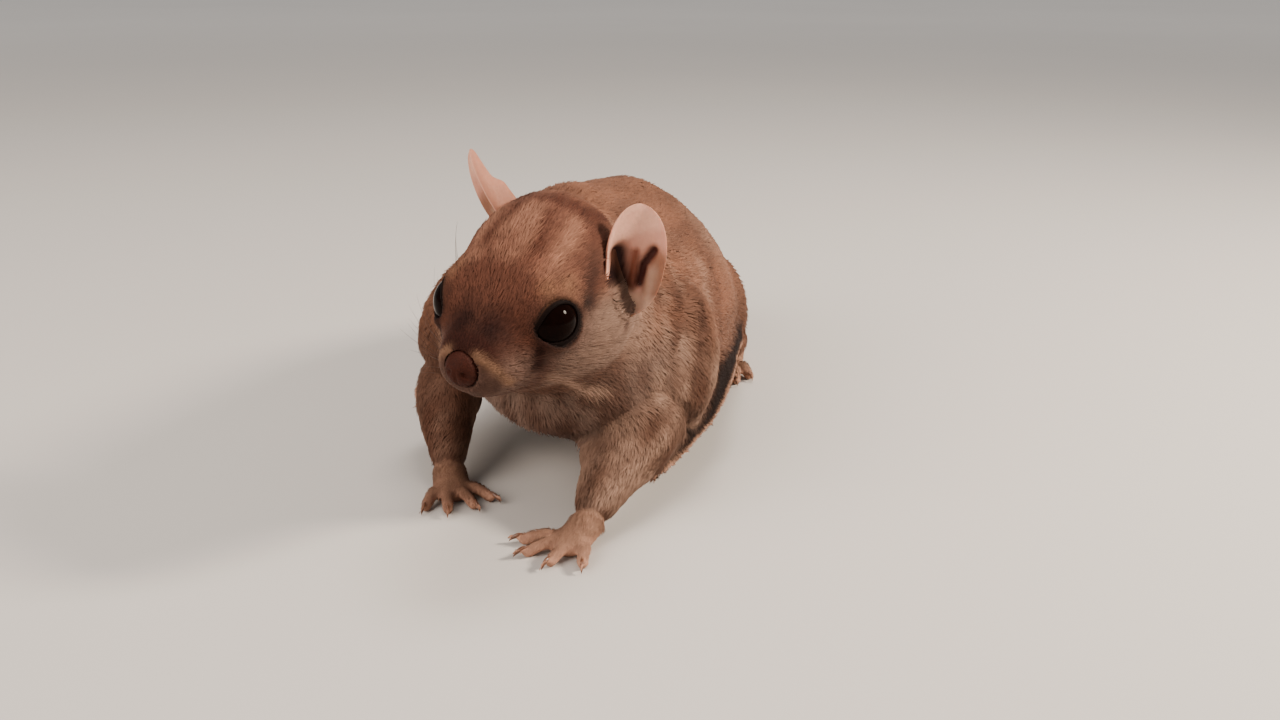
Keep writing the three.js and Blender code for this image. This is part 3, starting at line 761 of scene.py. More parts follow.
REGIONS = {"head": head_marks, "neck": trunk_marks, "torso": trunk_marks, "foreleg": arm_marks,
           "hand": paw_marks, "hindleg": leg_marks, "foot": paw_marks, "patagium": membrane_marks}
places = places_of(hide)
normals = normals_of(hide)
links = Links(hide)
kinds = np.array([list(REGIONS).index(region) for region in REGION_OF])[find_owner(places)]
shares = links.blended(np.eye(len(REGIONS))[kinds], rounds=10)
shares /= shares.sum(1, keepdims=True)
part = dict(zip(REGIONS, shares.T))
marks = sum(part[name][:, None] * paint(places) for name, paint in REGIONS.items())
bare = np.maximum(part["hand"], part["foot"])[:, None]
painted(hide, marks * (UNDERCOAT + (1 - UNDERCOAT) * bare))

hide_shade = Shade("hide")
hide_grain = hide_shade.noise(scale=2600.0, detail=4.0)
hide_paint = hide_shade.mottled(hide_shade.marks(), hide_grain, low=0.8, high=1.2)
skin.data.materials.clear()
skin.data.materials.append(hide_shade.surface(
    hide_paint, roughness=0.78, height=hide_grain, depth=0.12 * MM, Specular_IOR_Level=0.12))
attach(skin, "root")
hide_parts(*FLESH)


# Eyes. Large, round and black, of glass as in a mounted animal: a polished ball that sits in its
# socket, with a faint brown depth where the iris lies.
EYE_DARK = colour(8, 5, 5)
EYE_BROWN = colour(30, 15, 10) * 0.6

glass = Shade("eye_glass")
eye_paint = glass.mix(glass.noise(scale=900.0, detail=2.0), EYE_DARK, EYE_BROWN)
eye_finish = glass.surface(eye_paint, roughness=0.05, IOR=1.34, Specular_IOR_Level=0.045)
for side, centre in (("left", left_eye), ("right", right_eye)):
    eye_bm = bmesh.new()
    bmesh.ops.create_uvsphere(eye_bm, u_segments=40, v_segments=28, radius=EYE_RADIUS)
    bmesh.ops.translate(eye_bm, verts=eye_bm.verts, vec=Vector(centre))
    eye = finished(eye_bm, f"eyeball_{side}", eye_finish)
    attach(eye, "root")
    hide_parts(f"eye_{side}")


# Lids. Thin dark rims that hug the ball and narrow it to an oval, drawn out to a corner towards the
# nose and a smaller one behind. Past the bare rim they take the colour of the fur round the eye.
EYE_LOOK = np.array((0.84, -0.46, 0.28))  # the way that the left eye looks, in the head's frame
LID_RING = 4.0  # a lid starts as a ring of this radius, which is then bent over the ball
LID_OPEN = 35.5  # degrees from the middle of the eye to the rim, above and below
LID_LONG = 9.0  # degrees more to the front and to the back
LID_CORNER = (14.0, 6.0)  # degrees more still, at the very corners, in front and behind
LID_TILT = 0.2  # radians that the corners' line rises to the back
LID_WIDE = 12.0  # degrees from the middle of a lid to its edges
LID_THICK = 0.34 * MM
LID_CLEAR = 0.12 * MM  # from the ball to the middle of the lid
LID_COLOUR = colour(14, 4, 3)
LID_FURRED = 0.8  # how far the outer edge takes the colour of the fur

lid_shade = Shade("lid_skin")
lid_grain = lid_shade.noise(scale=3500.0)
lid_paint = lid_shade.mottled(lid_shade.marks(), lid_grain, low=0.75, high=1.25)
lid_finish = lid_shade.surface(
    lid_paint, roughness=0.7, height=lid_grain, depth=0.06 * MM, Specular_IOR_Level=0.06)
for side, centre, hand in (("left", left_eye, 1), ("right", right_eye, -1)):
    look = unit(EYE_LOOK * (hand, 1, 1))
    behind = unit(np.array((0, 1, 0)) - look * look[1])
    over = np.cross(look, behind) * hand
    lid_bm = bmesh.new()
    start = bmesh.ops.create_circle(lid_bm, segments=16, radius=1.0, cap_ends=False)
    bmesh.ops.translate(lid_bm, verts=start["verts"], vec=(LID_RING, 0, 0))
    bmesh.ops.rotate(lid_bm, verts=start["verts"], matrix=Matrix.Rotation(math.radians(90), 3, "X"))
    bmesh.ops.spin(
        lid_bm, geom=lid_bm.verts[:] + lid_bm.edges[:], cent=(0, 0, 0), axis=(0, 0, 1),
        angle=2 * math.pi, steps=64, use_merge=True)
    lid_marks = []
    for v in lid_bm.verts:
        turn = math.atan2(v.co.y, v.co.x)
        off_rim = math.hypot(v.co.x, v.co.y) - LID_RING
        backward = math.cos(turn - LID_TILT)
        corner = LID_CORNER[0] * max(-backward, 0) ** 8 + LID_CORNER[1] * max(backward, 0) ** 8
        polar = math.radians(LID_OPEN + LID_LONG * backward ** 2 + corner + LID_WIDE * (1 + off_rim))
        far = EYE_RADIUS + v.co.z * LID_THICK + LID_CLEAR
        way = (behind * math.sin(polar) * math.cos(turn)
               + over * math.sin(polar) * math.sin(turn) + look * math.cos(polar))
        v.co = Vector(centre + turned_from_head(way) * far)
        above = 0.5 + 0.5 * math.sin(turn)
        fur = PALETTE["brow"] * above + PALETTE["under_eye"] * (1 - above)
        furry = float(ramp(off_rim, -0.45, 0.3)) * (1 - abs(backward) ** 4) * LID_FURRED
        lid_marks.append(LID_COLOUR * (1 - furry) + fur * furry)
    bmesh.ops.recalc_face_normals(lid_bm, faces=lid_bm.faces)
    lid = finished(lid_bm, f"lid_{side}", lid_finish)
    painted(lid.data, np.array(lid_marks))
    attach(lid, "root")


# Nose. A small bare pad, brown and finely pebbled, with painted shade in the cracks between the pebbles,
# a comma-shaped nostril on each side and a groove between them that runs down to the lip.
NOSE_SIZE = np.array((2.6, 2.2, 2.75))  # mm, half widths
NOSTRIL = np.array((1.4, -1.6, 0.0))  # mm from the pad's middle
NOSTRIL_WIDE = (0.5, 1.2, 0.42)  # mm sideways, into the pad, and up or down from the comma's line
NOSTRIL_DEEP = 0.75
NOSTRIL_LEAN = 0.5  # how far the comma's line drops for each step outwards
GROOVE_WIDE = 0.22
GROOVE_DEEP = 0.3
NOSE_COLOUR = colour(60, 28, 19)

nose_shade = Shade("nose_pad")
pebbles = nose_shade.node(
    "ShaderNodeTexVoronoi", {"feature": "F1"}, {"Vector": nose_shade.places(), "Scale": 3800.0}, "Distance")
# The pebbles are painted lighter on their tops and darker at their edges, as painted shade in the cracks.
nose_paint = nose_shade.mix(pebbles, NOSE_COLOUR * 1.3, NOSE_COLOUR * 0.75)
nose_finish = nose_shade.surface(
    nose_paint, roughness=0.65, height=1.0 - pebbles, depth=0.07 * MM, Specular_IOR_Level=0.1)
nose_bm = bmesh.new()
bmesh.ops.create_uvsphere(nose_bm, u_segments=64, v_segments=48, radius=1.0)
for v in nose_bm.verts:
    p = np.array(v.co) * NOSE_SIZE
    pull = 0.0
    for hand in (-1, 1):
        x, y, z = p - NOSTRIL * (hand, 1, 1)
        comma = np.array((x, y, z + NOSTRIL_LEAN * hand * x)) / NOSTRIL_WIDE
        pull += NOSTRIL_DEEP * math.exp(-comma @ comma)
    if p[1] < 0:
        pull += GROOVE_DEEP * bell(p[0], GROOVE_WIDE) * ramp(p[2], 1.2, -0.2)
    p = p * (1 - pull / np.linalg.norm(p))
    v.co = Vector(from_head(p + (0, NOSE_BACK, NOSE_RISE)))
nose = finished(nose_bm, "nose_pad", nose_finish)
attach(nose, "root")
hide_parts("nose")


# Ears. Thin, nearly hairless leaves of skin, curled to a cup at the root. Inside are a bowl, a groove
# behind it and a ridge between the two; the bowl and the groove are painted dark as shade. The top and
# the front rim are pink and pale, and the root is pale, partly its own skin and partly painted light.
EAR_LENGTH = 19.5  # mm
EAR_WIDTH = 12.0
EAR_WIDENING = (0.86, 0.2)  # share of the width at the root, and what the tip has more
EAR_THICK = 0.7
EAR_CURLS = (1.75, 0.6)  # radians either side, at the root and at the tip
EAR_LEAN = 1.2  # mm that the tip leans back
EAR_ROLL = (0.82, 2.5)  # share of the way out where the rim starts to roll in, and how fast it does
EAR_ROOT_SUNK = 3.0  # mm that the lowest end goes into the fur
EAR_FOLDS = {  # lines in mm across and along the leaf, how wide they are and how far they stand out
    "bowl": {"line": [(-2.5, 11.6), (-1.85, 8.6), (-1.2, 6.2)], "wide": 1.6, "press": -1.4},
    "groove": {"line": [(3.1, 12.7), (1.9, 10.3), (1.6, 7.2)], "wide": 0.75, "press": -0.9},
    "ridge": {"line": [(0.2, 12.0), (0.35, 9.0), (0.5, 6.0)], "wide": 0.7, "press": 0.45},
    "lobe": {"line": [(3.5, 9.2), (3.6, 5.8)], "wide": 1.1, "press": 0.55},
}
FOLD_STRENGTH = 1.35  # of the folds' colours
PALE_FROM = ((-3.3, -0.5, 3.9), (12.1, 14.6, 16.2))  # mm across the leaf, and along to the pale tip
# The bowl's and the groove's dark colours are painted shade in the ear's hollows. The root's pale colour is
# partly the ear's pale base and partly painted light that lifts the shade there.
EAR_PAINTS = {
    "bowl": colour(44, 11, 8), "groove": colour(66, 22, 14), "ridge": colour(136, 84, 66),
    "lobe": colour(184, 158, 142), "top": colour(250, 210, 194), "middle": colour(230, 184, 169),
    "rear": colour(156, 118, 98), "root": colour(216, 192, 176), "back": colour(206, 158, 138),
    "back_root": colour(140, 98, 78),
}

ear_shade = Shade("ear_skin")
ear_grain = ear_shade.noise(scale=1500.0, detail=4.0)
ear_paint = ear_shade.mottled(
    ear_shade.marks(), ear_grain, low=(0.86, 0.84, 0.84), high=(1.12, 1.1, 1.1))
ear_finish = ear_shade.surface(
    ear_paint, roughness=0.6, height=ear_grain, depth=0.08 * MM, Specular_IOR_Level=0.18,
    Subsurface_Weight=0.2, Subsurface_Radius=(1.2, 0.5, 0.3), Subsurface_Scale=0.001)

for side, say in EARS.items():
    ear_bm = bmesh.new()
    bmesh.ops.create_uvsphere(ear_bm, u_segments=96, v_segments=72, radius=1.0)
    ball = np.array([v.co for v in ear_bm.verts])
    along = (ball[:, 2] + 1) / 2
    span = np.sqrt(np.maximum(1 - ball[:, 2] ** 2, 0))
    aside = ball[:, 0] / np.maximum(span, 1e-5) * (span > 1e-4)
    face = np.clip(2.4 * ball[:, 1], -1, 1)
    half_width = EAR_WIDTH / 2 * span * (EAR_WIDENING[0] + EAR_WIDENING[1] * along)
    curl = EAR_CURLS[0] + (EAR_CURLS[1] - EAR_CURLS[0]) * along ** 0.7
    radius = np.maximum(half_width, 1e-4) / curl
    turn = curl * aside
    on_leaf = np.stack((aside * half_width, EAR_LENGTH * along), axis=1)
    up = on_leaf[:, 1]
    folds = {name: bell(path_gap(on_leaf, fold["line"]), fold["wide"]) for name, fold in EAR_FOLDS.items()}
    inward = face * EAR_THICK / 2 + sum(fold * EAR_FOLDS[name]["press"] for name, fold in folds.items())
    inward += EAR_ROLL[1] * np.maximum(np.abs(aside) - EAR_ROLL[0], 0) * span * ramp(along, 0.3, 0.6)
    ear_places = np.stack((
        (radius - inward) * np.sin(turn),
        up,
        radius - (radius - inward) * np.cos(turn) - EAR_LEAN * along ** 2), axis=1)
    ear_places = ear_places @ ear_axes(say) + say["root"]
    ear_places[:, 0] -= EAR_ROOT_SUNK * np.maximum(1 - along / 0.3, 0) ** 2
    ear_places *= (say["hand"], 1, 1)
    for v, place in zip(ear_bm.verts, from_head(ear_places)):
        v.co = Vector(place)
    front_rim = ramp(aside, -0.72, -0.9) * ramp(up, 6, 9)
    pale = np.maximum(ramp(up - np.interp(on_leaf[:, 0], *PALE_FROM), -0.8, 1.0), front_rim)
    inside = layered(len(ball), "middle", [
        ("top", pale),
        ("rear", ramp(aside, 0.35, 0.6) * ramp(up, 14.5, 11.5)),
        # The bowl and the groove here lay painted shade in the hollows.
        *((name, FOLD_STRENGTH * folds[name]) for name in ("lobe", "ridge", "bowl", "groove")),
        # Partly painted light: the root is painted paler than its skin, over the shade at the ear's base.
        ("root", ramp(up, 6.6, 4.6)),
    ], EAR_PAINTS)
    outside = layered(len(ball), "back", [("back_root", ramp(up, 12, 4))], EAR_PAINTS)
    front = ramp(face, -0.6, 0.2)[:, None]
    bmesh.ops.recalc_face_normals(ear_bm, faces=ear_bm.faces)
    ear = finished(ear_bm, f"pinna_{side}", ear_finish)
    painted(ear.data, inside * front + outside * (1 - front))
    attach(ear, "root")
    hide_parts(f"ear_{side}")


# Claws. A short, hooked, horn-coloured claw at the tip of each digit, sharp and a little mottled. Its
# root lies inside the digit.
CLAW_LONG = 2.3  # mm past the tip of the digit's pad
CLAW_BEND = 1.5  # radians from root to tip
CLAW_THICK = 0.55  # mm, half the height at the root
CLAW_SLIM = 0.75  # width beside height
CLAW_SUNK = 0.9  # mm that the root lies inside the digit
CLAW_COLOUR = colour(120, 86, 66)
PAWS = {  # in the drawn frame, mm and degrees: each digit's place aside and back, its spread and length
    "hand_left": {
        "heel": (10.6, -30.7), "heading": 32, "sole": 5.6, "thick": 1.15,
        "digits": [(-2.1, 0.6, 48, 7.2), (-0.8, 0, 20, 7.4), (0.8, 0, -12, 6.8), (2.3, 1.4, -42, 6.6)]},
    "hand_right": {
        "heel": (-19, -15), "heading": -26, "sole": 5.6, "thick": 1.15,
        "digits": [(-2.3, 1.2, 24, 7.4), (-0.8, 0, 6, 7.6), (0.8, 0, -20, 7.2), (2.2, 1.2, -40, 7)]},
    "foot_left": {
        "heel": (18.6, 74.5), "heading": -4, "sole": 18.5, "thick": 1.3,
        "digits": [(-3, 3.2, 22, 6.6), (-1.6, 0.4, 10, 8.2), (0, 0, 0, 8.6), (1.6, 0.6, -10, 8.2),
                   (3, 2.6, -24, 6.8)]},
}
PAWS["foot_right"] = {
    "heel": (-18.6, 74.5), "heading": 4, "sole": 18.5, "thick": 1.3,
    "digits": [(-off, back, -spread, length) for off, back, spread, length in PAWS["foot_left"]["digits"]],
}

claw_shade = Shade("claw_horn")
claw_grain = claw_shade.noise(scale=2200.0, detail=2.0)
claw_paint = claw_shade.mix(claw_grain, CLAW_COLOUR * 0.6, CLAW_COLOUR * 1.5)
claw_finish = claw_shade.surface(claw_paint, roughness=0.3, height=claw_grain, depth=0.03 * MM)


def heading_way(degrees):
    turn = math.radians(degrees)
    return np.array((-math.sin(turn), -math.cos(turn), 0.0))


for paw, say in PAWS.items():
    claws_bm = bmesh.new()
    ahead = heading_way(say["heading"])
    aside = -np.cross(ahead, (0, 0, 1))
    for off, back, spread, length in say["digits"]:
        out = heading_way(say["heading"] + spread)
        side_way = np.cross(out, (0, 0, 1))
        root = np.array((*say["heel"], 0.0)) + ahead * (say["sole"] - back - 1) + aside * off
        root += out * (length - CLAW_SUNK) + np.array((0, 0, say["thick"] * 1.05 + 0.45))
        made = bmesh.ops.create_uvsphere(claws_bm, u_segments=12, v_segments=12, radius=1.0)
        for v in made["verts"]:
            share = (1 - v.co.z) / 2
            bend = share * CLAW_BEND
            spine = root + out * CLAW_LONG * 1.05 * math.sin(bend)
            spine[2] -= CLAW_LONG * 0.62 * (1 - math.cos(bend))
            size = CLAW_THICK * (1 - share) ** 0.7 + 0.04
            round_way = side_way * v.co.x * CLAW_SLIM + np.array((0, 0, 1)) * v.co.y
            v.co = Vector(drawn(spine + round_way * size))
    bmesh.ops.recalc_face_normals(claws_bm, faces=claws_bm.faces)
    claws = finished(claws_bm, f"claws_{paw}", claw_finish)
    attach(claws, "root")


# Coat. Short, dense, silky fur that lies flat from the nose to the tail and down the limbs. It is laid
# tuft by tuft: each is a thin closed lock rooted in the skin, darker at its root than at its tip.
COATS = {  # length and width in mm, tufts a square mm, degrees that they lift
    "head": {"length": 2.0, "width": 0.22, "dense": 20.0, "lift": 13},
    "neck": {"length": 3.2, "width": 0.29, "dense": 12.0, "lift": 12},
    "torso": {"length": 3.7, "width": 0.34, "dense": 8.0, "lift": 12},
    "foreleg": {"length": 2.2, "width": 0.26, "dense": 15.0, "lift": 12},
    "hand": {"length": 0.9, "width": 0.15, "dense": 16.0, "lift": 10},
    "hindleg": {"length": 2.8, "width": 0.33, "dense": 9.0, "lift": 13},
    "foot": {"length": 1.0, "width": 0.18, "dense": 10.0, "lift": 12},
    "patagium": {"length": 1.5, "width": 0.24, "dense": 12.0, "lift": 11},
}
COAT_PIECES = {  # the regions that each covers, and its material slot
    "coat_head": (("head",), "fur"),
    "coat_body": (("neck", "torso"), "fur"),
    "coat_arms": (("foreleg", "hand"), "limb_fur"),
    "coat_legs": (("hindleg", "foot"), "limb_fur"),
    "coat_membranes": (("patagium",), "membrane_fur"),
}
PIECE_TUFTS = 32_000
BELLY_THIN = 0.55  # share of the tufts left out underneath, where the floor hides them
STRAY = 0.16  # how far, to one side, a tuft strays from its way for each that it goes along
TUFT_SHADES = (0.68, 0.95, 1.08)  # brightness at the root, the middle and the tip
TUFT_THICK = 0.4  # thickness beside width
ROOT_SUNK = 0.12  # mm
ROOT_BACK = 0.1  # how far its root lies back. This and the next three are shares of a tuft's length
WAIST_AT = 0.42  # how far out along it the widest station is
WAIST_UP = 0.04  # how far that stands up from the straight line
TIP_DOWN = 0.06  # how far its tip drops
SKIN_LIGHT = 0.75  # how far the tufts are shaded like the skin under them
PATCH = 0.003  # each tuft's patch on the map, across

coat_shade = Shade("coat_fur")
coat_finish = coat_shade.surface(
    coat_shade.marks(), roughness=0.75, Specular_IOR_Level=0.12, Sheen_Weight=0.02, Sheen_Roughness=0.5)


def strands(name, spines, widths, thick, ups, colours, uv):
    """One mesh of closed, three-sided locks. spines is (lock, station, xyz), and the first and last
    stations are its two points. widths and thick are given at the stations between them."""
    count, stations, _ = spines.shape
    between = stations - 2
    ahead = unit(spines[:, 2:] - spines[:, :-2])
    sides = unit(np.cross(ahead, ups[:, None, :]))
    over = np.cross(sides, ahead)
    middles = spines[:, 1:-1]
    wide = sides * widths[..., None] / 2
    rings = np.stack((middles - wide, middles + over * thick[..., None], middles + wide), axis=2)
    verts = np.concatenate(
        (spines[:, :1], rings.reshape(count, between * 3, 3), spines[:, -1:]), axis=1)
    last = between * 3 + 1
    faces = []
    for k in range(3):
        n = (k + 1) % 3
        faces.append((0, 1 + n, 1 + k))
        faces.append((last, last - 3 + k, last - 3 + n))
        for first in range(1, last - 3, 3):
            faces.append((first + k, first + n, first + 3 + n))
            faces.append((first + k, first + 3 + n, first + 3 + k))
    size = verts.shape[1]
    all_faces = (np.array(faces)[None] + (np.arange(count) * size)[:, None, None]).reshape(-1, 3)
    mesh = bpy.data.meshes.new(name)
    mesh.vertices.add(count * size)
    mesh.vertices.foreach_set("co", verts.astype(np.float32).ravel())
    mesh.loops.add(all_faces.size)
    mesh.loops.foreach_set("vertex_index", all_faces.ravel().astype(np.int32))
    mesh.polygons.add(len(all_faces))
    mesh.polygons.foreach_set("loop_start", np.arange(0, all_faces.size, 3, dtype=np.int32))
    mesh.update(calc_edges=True)
    mesh.polygons.foreach_set("use_smooth", np.ones(len(all_faces), bool))
    painted(mesh, colours.reshape(-1, 3))
    flat = np.zeros((size, 2))
    rows = np.concatenate(([0], np.repeat(np.arange(1, between + 1), 3), [between + 1]))
    flat[:, 1] = rows / (between + 1) - 0.5
    flat[1:-1, 0] = np.tile((-0.5, 0, 0.5), between)
    corners = (uv[:, None, :] + flat[None] * PATCH).reshape(-1, 2)[all_faces.ravel()]
    layer = mesh.uv_layers.new(name="OFBake")
    layer.data.foreach_set("uv", corners.astype(np.float32).ravel())
    return in_scene(bpy.data.objects.new(name, mesh))


def softened(piece, ups, skin_light):
    """Turns the locks' shading towards the skin under them, as a dense coat takes the light."""
    mesh = piece.data
    under = np.repeat(ups, len(mesh.vertices) // len(ups), axis=0)
    leaned = unit((1 - skin_light) * numbers(mesh.vertex_normals, "vector", 3) + skin_light * under)
    mesh.normals_split_custom_set_from_vertices(leaned.astype(np.float32))


def head_flow(points, normals):
    """Back from the nose over the head, and away from the eyes."""
    p = in_head(points)
    sides = np.sign(p[:, :1]) * (1, 0, 0) + (0, 1, 1)
    near_eye = bell(eye_gap(p), 2.5)[:, None]
    ways = unit(p - (0, -7, 1)) + (0, 0.5, -0.1) + 1.2 * near_eye * unit(p - EYE_LOCAL * sides)
    return turned_from_head(ways)


def trunk_flow(points, normals):
    """Back along the body, and down its sides, more steeply over the shoulders."""
    x, y, z = in_drawn(points).T
    steep = (0.3 + 0.6 * ramp(y, 22, -2)) * (1 - np.abs(normals[:, 2]))
    return np.stack((0.1 * np.sign(x), 1 - 0.4 * steep, -steep), axis=1)


def arm_flow(points, normals):
    """Down the upper arm and forward along the forearm."""
    fore = ramp(in_drawn(points)[:, 2:], 17, 11)
    return (1 - fore) * (0, 0.5, -0.85) + fore * (-0.15, -0.8, -0.5)


def leg_flow(points, normals):
    return np.array((0, 0.7, -0.7))


def paw_flow(points, normals):
    return np.array((0, -1.0, -0.1))


def membrane_flow(points, normals):
    return np.sign(in_drawn(points)[:, :1]) * (0.7, 0, 0) + (0, 0.6, -0.5)


FLOWS = {"head": head_flow, "neck": trunk_flow, "torso": trunk_flow, "foreleg": arm_flow,
         "hand": paw_flow, "hindleg": leg_flow, "foot": paw_flow, "patagium": membrane_flow}
flow = sum(part[name][:, None] * unit(ways(places, normals)) for name, ways in FLOWS.items())
flow = unit(links.blended(flow, rounds=40 * (1 - part["head"]) + 8))

# The skin's own unwrap, which gives each tuft the place of its patch.
hide.calc_loop_triangles()
triangles = numbers(hide.loop_triangles, "vertices", 3, np.int32)
areas = areas_of(places[triangles]) / MM ** 2
bpy.context.view_layer.objects.active = skin
skin.select_set(True)
bpy.ops.object.mode_set(mode="EDIT")
bpy.ops.mesh.select_all(action="SELECT")
bpy.ops.uv.smart_project(angle_limit=math.radians(66), island_margin=0.004)
bpy.ops.object.mode_set(mode="OBJECT")
hide = skin.data
unwrap = numbers(hide.uv_layers.active.data, "uv", 2)
triangle_loops = numbers(hide.loop_triangles, "loops", 3, np.int32)

# The coat at each corner of the skin. It is short and fine round the eyes and at the nose, short at the
# membranes' edges, and leaves bare the eyes, the nose pad, the ears' hollows, the toes and the soles.
coat_at = {
    key: shares @ np.array([COATS[name][key] for name in REGIONS])
    for key in ("length", "width", "dense", "lift")
}
local = in_head(places)
off_eyes = ramp(eye_gap(local), 0.4, 3.5)
off_nose = ramp(local[:, 1], 2.2, 12)
coat_at["length"] *= 1 - part["head"] * (1 - (0.22 + 0.78 * off_eyes) * (0.3 + 0.7 * off_nose))
coat_at["length"] *= 1 - 0.5 * part["patagium"] * bell(edge_gap(in_drawn(places)), 1.8)
coat_at["width"] *= 1 - part["head"] * 0.35 * (1 - off_nose)
off_pad = np.linalg.norm((local - (0, NOSE_BACK, NOSE_RISE)) / NOSE_SIZE, axis=1)
off_ear, along_ear = hollow_share(local)
in_ear = (off_ear < 1.36) & (along_ear > 6.3)
bare = ((eye_gap(local) < 0.35) | (off_pad < 1.04) | in_ear) & (part["head"] > 0.5)
paws = part["hand"] + part["foot"]
sole = (normals[:, 2] < -0.6) & (paws > 0.5)
coat_at["dense"] *= 1 - paws * ramp(in_drawn(places)[:, 2], 2.6, 1.0)
coat_at["dense"] *= 1 - BELLY_THIN * ramp(normals[:, 2], -0.3, -0.7) * (1 - part["head"])
coat_at["dense"] = np.where(bare | sole, 0, coat_at["dense"])

strewn = np.random.default_rng(23)
expected = areas * coat_at["dense"][triangles].mean(1)
counts = np.floor(expected + strewn.random(len(expected))).astype(int)
chosen = np.repeat(np.arange(len(counts)), counts)
split = strewn.random((len(chosen), 2))
flip = split.sum(1) > 1
split[flip] = 1 - split[flip]
weights = np.stack((1 - split.sum(1), split[:, 0], split[:, 1]), axis=1)


def carried(values):
    """Values of the skin's corners at the roots of the tufts."""
    return np.einsum("ij,ij...->i...", weights, values[triangles[chosen]])


root_places = carried(places)
root_ups = unit(carried(normals))
root_ways = carried(flow)
root_ways = unit(root_ways - root_ups * (root_ways * root_ups).sum(1, keepdims=True))
root_sides = np.cross(root_ups, root_ways)
root_ways = unit(root_ways + root_sides * strewn.normal(0, STRAY, (len(chosen), 1)))
root_marks = carried(marks)
root_uv = np.einsum("ij,ijk->ik", weights, unwrap[triangle_loops[chosen]])
lengths = carried(coat_at["length"]) * strewn.uniform(0.75, 1.25, len(chosen)) * MM
widths = carried(coat_at["width"]) * strewn.uniform(0.75, 1.25, len(chosen)) * MM
lifts = np.radians(carried(coat_at["lift"]) * strewn.uniform(0.6, 1.4, len(chosen)))
tones = strewn.normal(1.0, 0.09, (len(chosen), 1))
tones *= 0.9 + 0.2 * blotches(root_places / MM, 1.7, 31)[:, None]


def tufts(name, which):
    """The tufts with the numbers given, as one piece of coat."""
    ups, ways = root_ups[which], root_ways[which]
    long = lengths[which, None]
    lift = lifts[which, None]
    way_up = ways * np.cos(lift) + ups * np.sin(lift)
    root = root_places[which] - ups * ROOT_SUNK * MM - ways * ROOT_BACK * long
    waist = root_places[which] + way_up * WAIST_AT * long + ups * WAIST_UP * long
    tip = root_places[which] + way_up * long - ups * TIP_DOWN * long
    spines = np.stack((root, waist, tip), axis=1)
    wide = widths[which, None]
    paint = root_marks[which] * tones[which]
    colours = np.stack([paint * TUFT_SHADES[station] for station in (0, 1, 1, 1, 2)], axis=1)
    piece = strands(
        name, spines, wide, wide * TUFT_THICK, ups, np.clip(colours, 0, 1), root_uv[which])
    piece.data.materials.append(coat_finish)
    softened(piece, ups, SKIN_LIGHT)
    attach(piece, "root")


home = np.array(list(REGIONS))[carried(shares).argmax(1)]
for name, (regions, slot) in COAT_PIECES.items():
    which = np.flatnonzero(np.isin(home, regions))
    which = which[np.argsort(root_places[which, 1], kind="stable")]
    pieces = math.ceil(len(which) / PIECE_TUFTS)
    for number, share in enumerate(np.array_split(which, pieces)):
        tufts(f"{name}_{number + 1}", share)


# Tail. A flat brush: a thin furred core on the floor, and on both sides of it long soft locks that
# lean back like the barbs of a feather and close round the tip.
TAIL_SPINE = [(0, 80, 14), (-0.6, 92, 8.5), (-3, 106, 4.6), (-8, 125, 3.0), (-13.4, 146, 2.6),
              (-17, 162, 2.1), (-18.6, 170, 1.7)]
TAIL_SIZES = [(6, 5, 5), (6, 5.4, 7.8), (5.2, 4.2, 4.4), (4.8, 3.2, 2.8), (4.4, 2.8, 2.4), (3.6, 2.2, 1.9),
              (2, 1.5, 1.5)]  # mm: half width, reach above and below the spine
TAIL_INSET = 0.8  # mm of short fur over the core
TAIL_ROUNDING = (0.06, 0.12)  # shares of its length that are rounded off, at the root and at the tip
TAIL_TUFTS = 26_000
TIP_TUFTS = 1 / 12  # share of them that stands on the last 6 % of the tail
TAIL_HAIR = (3.2, 14.5)  # mm, on top and at the sides
TAIL_WIDTH = 0.42  # mm, of a lock
TAIL_LEAN = (36, 89)  # degrees back from straight out, at the root and at the tip
TAIL_SHADES = np.array((0.5, 0.8, 0.8, 0.8, 1.0, 1.0, 1.0, 1.2))  # from a lock's root to its tip
LOCK_STATIONS = np.array((0, 0.3, 0.65, 1.0))  # shares of its length
FLOOR_CLEAR = (0.15, 0.25, 0.35)  # mm from the floor: the locks, the core and the settled tips


def along_line(points, share):
    """A smooth line that passes through all the points, each bend set by the points on both sides."""
    points = np.asarray(points, float)
    share = np.atleast_1d(share) * (len(points) - 1)
    first = np.clip(share.astype(int), 0, len(points) - 2)
    t = (share - first)[:, None]
    padded = np.concatenate(([2 * points[0] - points[1]], points, [2 * points[-1] - points[-2]]))
    a, b, c, d = (padded[first + k] for k in range(4))
    bent = 2 * b + (c - a) * t + (2 * a - 5 * b + 4 * c - d) * t ** 2
    return 0.5 * (bent + (3 * b - a - 3 * c + d) * t ** 3)


def tail_surface(share, turn):
    """Place, outward way, and ways along and to the left, at a share of the core's length and a turn
    round it."""
    centre = along_line(TAIL_SPINE, share)
    ahead = unit(along_line(TAIL_SPINE, np.minimum(share + 0.01, 1)) - along_line(TAIL_SPINE, share - 0.01))
    left = unit(np.cross(ahead, (0, 0, 1)))
    top = np.cross(left, ahead)
    wide, up, down = along_line(TAIL_SIZES, share).T - TAIL_INSET
    cap = np.minimum(np.minimum(share / TAIL_ROUNDING[0], (1 - share) / TAIL_ROUNDING[1]), 1)
    cap = np.sqrt(np.clip(cap * (2 - cap), 0, 1))
    high = np.where(np.sin(turn) > 0, up, down)
    aside = (np.cos(turn) * wide * cap)[:, None]
    over = (np.sin(turn) * high * cap)[:, None]
    out = unit(left * (np.cos(turn) / wide)[:, None] + top * (np.sin(turn) / high)[:, None])
    return centre + left * aside + top * over, out, ahead, left


